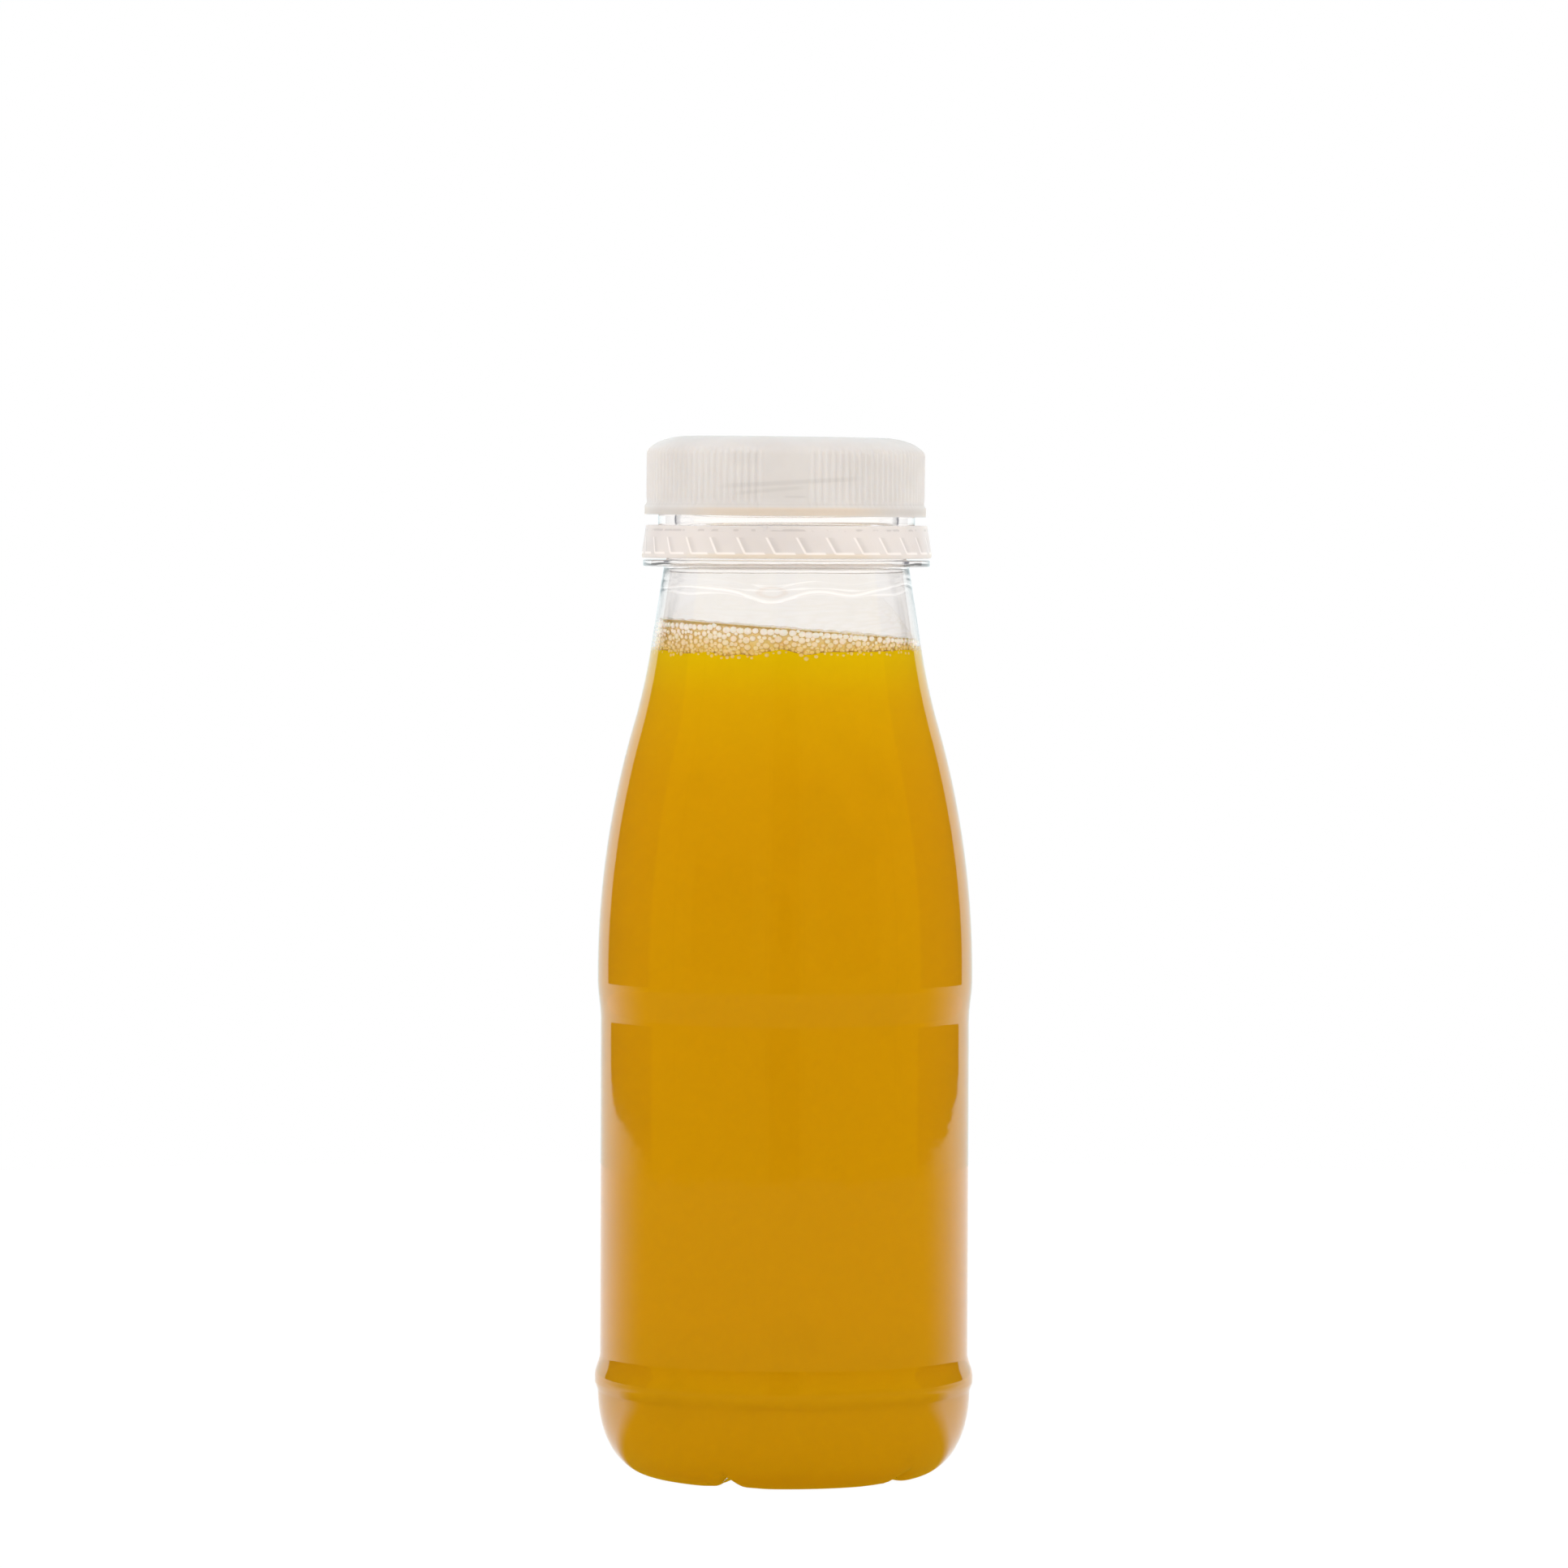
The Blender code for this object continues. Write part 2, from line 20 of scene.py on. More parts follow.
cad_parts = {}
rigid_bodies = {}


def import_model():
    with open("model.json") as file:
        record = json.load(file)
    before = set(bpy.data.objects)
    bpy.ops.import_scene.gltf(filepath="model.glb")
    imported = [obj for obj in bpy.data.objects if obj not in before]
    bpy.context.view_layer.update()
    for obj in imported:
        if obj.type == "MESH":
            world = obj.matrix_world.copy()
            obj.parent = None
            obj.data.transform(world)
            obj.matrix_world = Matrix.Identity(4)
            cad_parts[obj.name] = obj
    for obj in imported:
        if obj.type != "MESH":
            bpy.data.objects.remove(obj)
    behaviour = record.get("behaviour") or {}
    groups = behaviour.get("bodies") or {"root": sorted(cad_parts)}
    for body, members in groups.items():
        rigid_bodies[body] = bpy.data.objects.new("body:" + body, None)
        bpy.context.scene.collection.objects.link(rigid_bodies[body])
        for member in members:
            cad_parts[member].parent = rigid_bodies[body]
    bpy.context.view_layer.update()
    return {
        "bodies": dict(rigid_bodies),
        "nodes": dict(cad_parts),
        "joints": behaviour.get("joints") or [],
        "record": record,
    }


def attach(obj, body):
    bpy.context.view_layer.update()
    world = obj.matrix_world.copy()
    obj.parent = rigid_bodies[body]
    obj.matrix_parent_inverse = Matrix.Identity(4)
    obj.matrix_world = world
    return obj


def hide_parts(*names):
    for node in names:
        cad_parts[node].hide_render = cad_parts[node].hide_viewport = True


LOG = logging.getLogger("juice_bottle")
BODY = "root"
FULL_TURN = 360.0
MERGE = 1e-6
DOUBLINGS = 3
MARKS = ("rim", "depth")
# The mesh mark that sets where the clear plastic has a painted glow.
PAINTED_GLOW = "painted_glow"
WHITE = (1.0, 1.0, 1.0)
BLACK = (0.0, 0.0, 0.0)
MILLIMETRES = 1000.0

Point = tuple[float, float]
Outline = list[Point]
Colour = tuple[float, float, float]
Span = tuple[float, float]
Swell = tuple[float, float, float]
Socket = Union[bpy.types.NodeSocket, float, Colour]


class Slot(Enum):
    """The record's material slots."""

    CLEAR = "clear_plastic"
    CAP = "milky_cap_plastic"
    RING = "milky_ring_plastic"
    JUICE = "orange_juice"
    FROTH = "juice_froth"


def smooth(t: float) -> float:
    """An even S-curve from 0 to 1."""
    t = min(max(t, 0.0), 1.0)
    return t * t * (3.0 - 2.0 * t)


def turn_between(azimuth: float, centre: float, pitch: float = FULL_TURN) -> float:
    """The signed angle from the nearest of the evenly pitched centres to an azimuth."""
    return (azimuth - centre + pitch / 2.0) % pitch - pitch / 2.0


def azimuth_of(point: Vector) -> float:
    """The azimuth of a point, in degrees."""
    return math.degrees(math.atan2(point.x, -point.y))


def around(radius: float, azimuth: float, height: float) -> Vector:
    """The point at this radius, azimuth and height."""
    angle = math.radians(azimuth)
    return Vector((radius * math.sin(angle), -radius * math.cos(angle), height))


def swell_at(azimuth: float, swells: Iterable[Swell]) -> float:
    """The height at an azimuth of soft swells, each given as azimuth, half width in degrees and height."""
    return sum(rise * math.exp(-((turn_between(azimuth, place) / width) ** 2)) for place, width, rise in swells)


def inset(outline: Outline, depth: float) -> Outline:
    """Moves an outline inwards.

    Args:
        outline: Points of radius and height that run down the outer side and end on the axis.
        depth: How far each stretch moves.

    Returns:
        The moved outline, with mitred corners.
    """
    moved = []
    for i, (radius, height) in enumerate(outline):
        here = Vector((radius, height))
        before = (here - Vector(outline[i - 1])).normalized() if i else None
        after = (Vector(outline[i + 1]) - here).normalized() if i + 1 < len(outline) else None
        before, after = before or after, after or before
        way = (before + after).normalized()
        push = depth / max(way.dot(after), 0.5)
        moved.append((max(radius + way.y * push, 0.0), height - way.x * push))
    return [*moved[:-1], (0.0, moved[-1][1])]


def below(outline: Outline, level: float) -> Outline:
    """The part of an outline that lies under a level, with a point added on the level.

    Args:
        outline: Points of radius and height that run down the outer side.
        level: The height to cut at.

    Returns:
        The lower part, or the whole outline where it never comes under the level.
    """
    for i, (radius, height) in enumerate(outline):
        if height < level:
            r0, z0 = outline[i - 1]
            share = (z0 - level) / (z0 - height)
            return [(r0 + (radius - r0) * share, level), *outline[i:]]
    return outline


def divided(outline: Outline, longest: float) -> Outline:
    """The outline with every stretch cut into parts no longer than longest.

    Args:
        outline: Points of radius and height.
        longest: The longest part allowed.

    Returns:
        The same outline with more points.
    """
    points = [outline[0]]
    for (r0, z0), (r1, z1) in zip(outline, outline[1:]):
        parts = max(math.ceil(math.hypot(r1 - r0, z1 - z0) / longest - MERGE), 1)
        points += [(r0 + (r1 - r0) * i / parts, z0 + (z1 - z0) * i / parts) for i in range(1, parts + 1)]
    return points


def spun(outline: Outline, steps: int, closed: bool = False) -> bmesh.types.BMesh:
    """Spins an outline about the Z axis into a shell, one sector first and then copies of it.

    Args:
        outline: Points of radius and height.
        steps: How many facets go round, a multiple of eight.
        closed: Whether the outline's last point joins its first.

    Returns:
        The shell, its poles merged and its faces pointing out.
    """
    work = bmesh.new()
    chain = [work.verts.new((0.0, -radius, height)) for radius, height in outline]
    edges = [work.edges.new(pair) for pair in zip(chain, chain[1:])]
    if closed:
        edges.append(work.edges.new((chain[-1], chain[0])))
    sector = math.tau / 2**DOUBLINGS
    bmesh.ops.spin(
        work,
        geom=[*chain, *edges],
        cent=(0.0, 0.0, 0.0),
        axis=(0.0, 0.0, 1.0),
        dvec=(0.0, 0.0, 0.0),
        angle=sector,
        space=Matrix.Identity(4),
        steps=steps // 2**DOUBLINGS,
        use_merge=False,
        use_normal_flip=False,
        use_duplicate=False,
    )
    for doubling in range(DOUBLINGS):
        made = bmesh.ops.duplicate(work, geom=[*work.verts, *work.edges, *work.faces])["geom"]
        turn = Matrix.Rotation(sector * 2**doubling, 4, "Z")
        copied = [item for item in made if isinstance(item, bmesh.types.BMVert)]
        bmesh.ops.transform(work, matrix=turn, verts=copied)
    bmesh.ops.remove_doubles(work, verts=work.verts, dist=MERGE)
    bmesh.ops.recalc_face_normals(work, faces=work.faces)
    return work


def round_rings(work: bmesh.types.BMesh, offset: float, segments: int = 3, sharper: float = 14.0) -> None:
    """Rounds the edges that run level round a spun shell and are sharper than an angle.

    Args:
        work: The shell.
        offset: How far the rounding reaches from each edge.
        segments: How many facets the rounding has.
        sharper: The angle in degrees above which an edge is rounded.
    """
    rings = [
        edge
        for edge in work.edges
        if len(edge.link_faces) == 2
        and abs(edge.verts[0].co.z - edge.verts[1].co.z) < MERGE
        and edge.calc_face_angle(0.0) > math.radians(sharper)
        and abs(edge.verts[0].co.xy.length - edge.verts[1].co.xy.length) < MERGE
    ]
    bmesh.ops.bevel(
        work,
        geom=rings,
        offset=offset,
        offset_type="OFFSET",
        segments=segments,
        profile=0.5,
        affect="EDGES",
        clamp_overlap=True,
        material=-1,
    )


def join_work(work: bmesh.types.BMesh, extra: bmesh.types.BMesh) -> None:
    """Adds one mesh work to another and frees it.

    Args:
        work: The mesh work that grows.
        extra: The mesh work that is added and freed.
    """
    mesh = bpy.data.meshes.new("extra")
    extra.to_mesh(mesh)
    extra.free()
    work.from_mesh(mesh)
    bpy.data.meshes.remove(mesh)


def finished(name: str, work: bmesh.types.BMesh, sharp: float = 40.0) -> bpy.types.Object:
    """Turns mesh work into an object at the origin with smooth shading.

    Args:
        name: The piece's name.
        work: The mesh work, which is freed.
        sharp: Angle above which an edge stays sharp, in degrees.

    Returns:
        The new object.
    """
    mesh = bpy.data.meshes.new(name)
    work.to_mesh(mesh)
    work.free()
    mesh.shade_smooth()
    mesh.set_sharp_from_angle(angle=math.radians(sharp))
    piece = bpy.data.objects.new(name, mesh)
    bpy.context.scene.collection.objects.link(piece)
    return piece


def fit(piece: bpy.types.Object, node: str, slot: Slot, material: bpy.types.Material) -> None:
    """Puts a finished piece in the place of a CAD node and dresses it.

    Args:
        piece: The finished piece.
        node: The name of the CAD node that it stands for.
        slot: The slot of the record that it belongs to.
        material: Its finish.
    """
    piece.data.materials.append(material)
    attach(piece, BODY)
    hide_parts(node)
    LOG.info("%s stands for %s: %d faces, %s", piece.name, node, len(piece.data.polygons), slot.value)


class Bench:
    """Adds and links the nodes of one node tree."""

    def __init__(self, tree: bpy.types.NodeTree) -> None:
        """Takes the tree to work on."""
        self.tree = tree

    def add(self, kind: str, inputs: Optional[dict] = None, **settings: object) -> bpy.types.Node:
        """Adds a node.

        Args:
            kind: The node's type.
            inputs: Values or other nodes' outputs for its inputs, by name or number.
            settings: The node's own settings.

        Returns:
            The new node.
        """
        node = self.tree.nodes.new(kind)
        for name, setting in settings.items():
            setattr(node, name, setting)
        for name, value in (inputs or {}).items():
            self.feed(node, name, value)
        return node

    def feed(self, node: bpy.types.Node, name: Union[str, int], value: Socket) -> None:
        """Gives a node's input a value or a link.

        Args:
            node: The node.
            name: The input's name or number.
            value: A number or colour to set, or another node's output to link.
        """
        if isinstance(value, bpy.types.NodeSocket):
            self.tree.links.new(value, node.inputs[name])
        elif isinstance(value, tuple) and node.inputs[name].type == "RGBA":
            node.inputs[name].default_value = (*value, 1.0)
        else:
            node.inputs[name].default_value = value

    def sum(self, operation: str, *terms: Socket, clamp: bool = False) -> bpy.types.NodeSocket:
        """The result of a maths node on one, two or three terms."""
        inputs = dict(enumerate(terms))
        return self.add("ShaderNodeMath", inputs, operation=operation, use_clamp=clamp).outputs[0]

    def product(self, first: Socket, *others: Socket) -> bpy.types.NodeSocket:
        """The product of two or more terms.

        Args:
            first: The first term.
            others: The terms it is multiplied by, in turn.

        Returns:
            The last maths node's output.
        """
        for other in others:
            first = self.sum("MULTIPLY", first, other)
        return first

    def away(self, value: Socket, place: Socket) -> bpy.types.NodeSocket:
        """The distance of a value from a place."""
        return self.sum("ABSOLUTE", self.sum("SUBTRACT", value, place))

    def mark(self, name: str) -> bpy.types.NodeSocket:
        """The value that a mesh carries under a name."""
        return self.add("ShaderNodeAttribute", attribute_type="GEOMETRY", attribute_name=name).outputs["Fac"]

    def span(
        self, value: Socket, start: float, end: float, low: float = 0.0, high: float = 1.0
    ) -> bpy.types.NodeSocket:
        """A smooth step of a value, from low at start to high at end."""
        inputs = {"Value": value, "From Min": start, "From Max": end, "To Min": low, "To Max": high}
        return self.add("ShaderNodeMapRange", inputs, interpolation_type="SMOOTHSTEP").outputs["Result"]

    def mix(self, share: Socket, first: Socket, second: Socket) -> bpy.types.NodeSocket:
        """Two colours mixed by a share.

        Args:
            share: How much of the second colour there is, from 0 to 1.
            first: The colour at 0.
            second: The colour at 1.

        Returns:
            The mixed colour.
        """
        node = self.add("ShaderNodeMix", data_type="RGBA", clamp_factor=True)
        self.feed(node, 0, share)
        self.feed(node, 6, first)
        self.feed(node, 7, second)
        return node.outputs[2]

    def ramp(self, value: Socket, stops: Iterable[tuple[float, Colour]]) -> bpy.types.NodeSocket:
        """A colour ramp over a value from 0 to 1.

        Args:
            value: Where on the ramp to read.
            stops: Place and colour of each stop, in rising order.

        Returns:
            The colour read.
        """
        node = self.add("ShaderNodeValToRGB", {"Fac": value})
        stops = list(stops)
        elements = node.color_ramp.elements
        while len(elements) < len(stops):
            elements.new(0.5)
        for element, (place, colour) in zip(elements, stops):
            element.position = place
            element.color = (*colour, 1.0)
        return node.outputs["Color"]

    def group(self, tree: bpy.types.NodeTree, **inputs: Socket) -> bpy.types.Node:
        """Places a node group, its inputs named with underscores for spaces.

        Args:
            tree: The group.
            inputs: Values or links for its inputs.

        Returns:
            The node that holds the group.
        """
        node = self.add("ShaderNodeGroup")
        node.node_tree = tree
        for name, value in inputs.items():
            self.feed(node, name.replace("_", " "), value)
        return node


@dataclass(frozen=True)
class SharedEffects:
    """The node groups that several finishes use, each built once."""

    place: bpy.types.NodeTree
    skin: bpy.types.NodeTree
    helix: bpy.types.NodeTree
    flaps: bpy.types.NodeTree

    @classmethod
    def built(cls) -> "SharedEffects":
        """Builds every group."""
        return cls(cls.place_group(), cls.skin_group(), cls.helix_group(), cls.flap_group())

    @staticmethod
    def started(
        name: str, inputs: Iterable[tuple[str, float]], outputs: Iterable[tuple[str, str]]
    ) -> tuple[bpy.types.NodeTree, Bench, bpy.types.Node, bpy.types.Node]:
        """Starts a node group.

        Args:
            name: The group's name.
            inputs: Name and starting value of each number that goes in.
            outputs: Name and socket type of each thing that comes out.

        Returns:
            The tree, its bench, its input node and its output node.
        """
        tree = bpy.data.node_groups.new(name, "ShaderNodeTree")
        for title, value in inputs:
            made = tree.interface.new_socket(name=title, in_out="INPUT", socket_type="NodeSocketFloat")
            made.default_value = value
        for title, kind in outputs:
            tree.interface.new_socket(name=title, in_out="OUTPUT", socket_type=kind)
        bench = Bench(tree)
        return tree, bench, bench.add("NodeGroupInput"), bench.add("NodeGroupOutput")

    @classmethod
    def place_group(cls) -> bpy.types.NodeTree:
        """A point's azimuth in degrees, its radius and its height, in millimetres.

        Returns:
            The group.
        """
        kind = "NodeSocketFloat"
        tree, bench, _, out = cls.started(
            "place_round_axis", [], [("Azimuth", kind), ("Radius", kind), ("Height", kind)]
        )
        spot = bench.add("ShaderNodeTexCoord").outputs["Object"]
        parts = bench.add("ShaderNodeSeparateXYZ", {0: spot})
        x, y, z = parts.outputs
        angle = bench.sum("ARCTAN2", x, bench.sum("MULTIPLY", y, -1.0))
        reach = bench.sum("SQRT", bench.sum("ADD", bench.product(x, x), bench.product(y, y)))
        bench.feed(out, "Azimuth", bench.sum("DEGREES", angle))
        bench.feed(out, "Radius", bench.product(reach, MILLIMETRES))
        bench.feed(out, "Height", bench.product(z, MILLIMETRES))
        return tree

    @classmethod
    def skin_group(cls) -> bpy.types.NodeTree:
        """The skin of moulded plastic: cloudiness, uneven gloss and a faint orange peel.

        Returns:
            The group.
        """
        tree, bench, into, out = cls.started(
            "moulded_skin",
            [("Cloud Scale", 90.0), ("Grain Scale", 1400.0), ("Gloss", 0.1), ("Gloss Spread", 0.05), ("Relief", 0.1)],
            [("Cloud", "NodeSocketFloat"), ("Roughness", "NodeSocketFloat"), ("Normal", "NodeSocketVector")],
        )
        spot = bench.add("ShaderNodeTexCoord").outputs["Object"]
        cloud = bench.add(
            "ShaderNodeTexNoise",
            {"Vector": spot, "Scale": into.outputs["Cloud Scale"], "Detail": 3.0, "Roughness": 0.55},
        ).outputs[0]
        grain = bench.add(
            "ShaderNodeTexNoise",
            {"Vector": spot, "Scale": into.outputs["Grain Scale"], "Detail": 2.0, "Roughness": 0.5},
        ).outputs[0]
        spread = bench.sum("MULTIPLY", bench.sum("SUBTRACT", cloud, 0.5), into.outputs["Gloss Spread"])
        bench.feed(out, "Cloud", cloud)
        bench.feed(out, "Roughness", bench.sum("ADD", into.outputs["Gloss"], spread, clamp=True))
        cloud_relief = 4.0
        height = bench.sum("ADD", bench.product(cloud, cloud_relief), grain)
        bump = bench.add(
            "ShaderNodeBump", {"Strength": into.outputs["Relief"], "Distance": 0.0001, "Height": height}
        )
        bench.feed(out, "Normal", bump.outputs["Normal"])
        return tree

    @classmethod
    def helix_group(cls) -> bpy.types.NodeTree:
        """A mask of one thread line that climbs round the axis and fades at both ends.

        Returns:
            The group.
        """
        tree, bench, into, out = cls.started(
            "thread_line",
            [("Start", 0.0), ("Sweep", 90.0), ("Bottom", 145.0), ("Lead", 9.4), ("Half Width", 0.3)],
            [("Mask", "NodeSocketFloat")],
        )
        place = bench.group(cls.found("place_round_axis"))
        run = bench.sum("SUBTRACT", place.outputs["Azimuth"], into.outputs["Start"])
        run = bench.sum("FLOORED_MODULO", run, FULL_TURN)
        climb = bench.sum("MULTIPLY", bench.sum("DIVIDE", run, FULL_TURN), into.outputs["Lead"])
        line = bench.sum("ADD", into.outputs["Bottom"], climb)
        share = bench.sum("DIVIDE", bench.away(place.outputs["Height"], line), into.outputs["Half Width"])
        ends = bench.sum("MINIMUM", run, bench.sum("SUBTRACT", into.outputs["Sweep"], run))
        ends = bench.sum("DIVIDE", ends, into.outputs["Sweep"])
        core_share, fade_share = 0.2, 0.22
        bench.feed(out, "Mask", bench.product(bench.span(share, 1.0, core_share), bench.span(ends, 0.0, fade_share)))
        return tree

    @classmethod
    def flap_group(cls) -> bpy.types.NodeTree:
        """Masks of painted highlights on the edges and painted shade on the faces of slanted flaps that show through
        a band, and of a row of painted shadow dashes above the flaps.

        Returns:
            The group.
        """
        kind = "NodeSocketFloat"
        tree, bench, into, out = cls.started(
            "slanted_flaps",
            [("Start", 4.0), ("Pitch", 12.0), ("Slant", 3.6), ("Span", 8.0), ("Bottom", 136.0), ("Top", 138.4)],
            [("Edge", kind), ("Face", kind), ("Dash", kind)],
        )
        place = bench.group(cls.found("place_round_axis"))
        height = place.outputs["Height"]
        tall = bench.sum("SUBTRACT", into.outputs["Top"], into.outputs["Bottom"])
        drop = bench.sum("DIVIDE", bench.sum("SUBTRACT", into.outputs["Top"], height), tall)
        lean = bench.sum("ADD", into.outputs["Start"], bench.sum("MULTIPLY", drop, into.outputs["Slant"]))
        before, soft, corner, foot_drop = 1.0, 0.04, 0.3, 0.97
        run = bench.sum("SUBTRACT", place.outputs["Azimuth"], lean)
        run = bench.sum("FLOORED_MODULO", bench.sum("ADD", run, before), into.outputs["Pitch"])
        run = bench.sum("SUBTRACT", run, before)
        inside = bench.product(bench.span(drop, -soft, soft), bench.span(drop, 1.0 + soft, 1.0 - soft))
        slanted = bench.product(bench.span(bench.sum("ABSOLUTE", run), 0.75, 0.2), inside)
        foot = bench.span(bench.away(drop, foot_drop), 0.10, 0.03)
        reach = bench.product(bench.span(run, -corner, corner), bench.sum("LESS_THAN", run, into.outputs["Span"]))
        bench.feed(out, "Edge", bench.sum("MAXIMUM", slanted, bench.product(foot, reach)))
        shade = bench.product(bench.span(run, corner, 0.9), bench.span(run, 4.2, 0.9))
        bench.feed(out, "Face", bench.product(shade, inside))
        # Painted shadow dashes in a broken row above the flaps.
        spot = bench.add("ShaderNodeTexCoord").outputs["Object"]
        grain = bench.add("ShaderNodeTexNoise", {"Vector": spot, "Scale": 700.0, "Detail": 1.0}).outputs[0]
        dash_wander, dash_lift = 0.1, 0.37
        level = bench.sum("ADD", bench.sum("ADD", drop, bench.product(grain, dash_wander)), dash_lift)
        level = bench.sum("ABSOLUTE", level)
        bench.feed(out, "Dash", bench.product(bench.span(level, 0.09, 0.03), bench.span(grain, 0.47, 0.56)))
        return tree

    @staticmethod
    def found(name: str) -> bpy.types.NodeTree:
        """A group that is already built."""
        return bpy.data.node_groups[name]


def new_material(name: str) -> tuple[bpy.types.Material, Bench, bpy.types.Node]:
    """A new node material, its bench and its Principled shader.

    Args:
        name: The material's name.

    Returns:
        The material, its bench and its shader.
    """
    material = bpy.data.materials.new(name)
    material.use_nodes = True
    return material, Bench(material.node_tree), material.node_tree.nodes["Principled BSDF"]


@dataclass(frozen=True)
class ClearPlastic:
    """Blown clear plastic, slightly uneven in gloss and thickness, with a painted glow on its thick neck and a
    painted highlight along the ridge inside it.
    """

    effects: SharedEffects
    tint: Colour = (0.985, 0.975, 0.966)
    streak_tint: Colour = (0.95, 0.94, 0.93)
    painted_lens_shade: Colour = (0.95, 0.91, 0.88)
    lens_place: tuple[float, float] = (-6.5, 130.4)
    lens_size: tuple[float, float] = (7.2, 0.85)
    lens_ring: float = 0.8
    lens_softness: float = 0.4
    streak_span: Span = (0.55, 0.75)
    painted_glow_span: Span = (0.1, 0.8)
    # The glow is the strength of the painted glow.
    painted_glow: float = 0.13
    refraction: float = 1.57

    def lens(self, bench: Bench) -> bpy.types.NodeSocket:
        """Painted shade along the soft outline of the small oval where the wall is drawn thin.

        Args:
            bench: The material's bench.

        Returns:
            The mask of the outline.
        """
        place = bench.group(self.effects.place)
        total: Socket = 0.0
        for name, middle, size in zip(("Azimuth", "Height"), self.lens_place, self.lens_size):
            away = bench.sum("DIVIDE", bench.sum("SUBTRACT", place.outputs[name], middle), size)
            total = bench.sum("ADD", total, bench.product(away, away))
        return bench.span(bench.away(bench.sum("SQRT", total), self.lens_ring), self.lens_softness, 0.0)

    def material(self) -> bpy.types.Material:
        """Builds the finish.

        Returns:
            The material.
        """
        material, bench, shader = new_material(Slot.CLEAR.value)
        skin = bench.group(
            self.effects.skin, Cloud_Scale=70.0, Grain_Scale=260.0, Gloss=0.03, Gloss_Spread=0.04, Relief=0.05
        )
        streaks = bench.span(skin.outputs["Cloud"], *self.streak_span)
        colour = bench.mix(streaks, self.tint, self.streak_tint)
        # The oval's outline is tinted with a warm painted shade.
        bench.feed(shader, "Base Color", bench.mix(self.lens(bench), colour, self.painted_lens_shade))
        # Painted glow: white emission where the glow mark is set, a painted glow on the thick neck and a painted
        # highlight along the inner ridge.
        lit = bench.span(bench.mark(PAINTED_GLOW), *self.painted_glow_span)
        bench.feed(shader, "Emission Color", bench.mix(lit, BLACK, WHITE))
        bench.feed(shader, "Emission Strength", self.painted_glow)
        bench.feed(shader, "Roughness", skin.outputs["Roughness"])
        bench.feed(shader, "Normal", skin.outputs["Normal"])
        bench.feed(shader, "Transmission Weight", 1.0)
        bench.feed(shader, "IOR", self.refraction)
        return material


@dataclass(frozen=True)
class PaintedShadeStreak:
    """A line of painted shade where a part shows through a milky wall, from a start azimuth, in degrees and
    millimetres.
    """

    start: float
    sweep: float
    bottom: float
    lead: float
    half_width: float
    share: float
    copies: int = 3


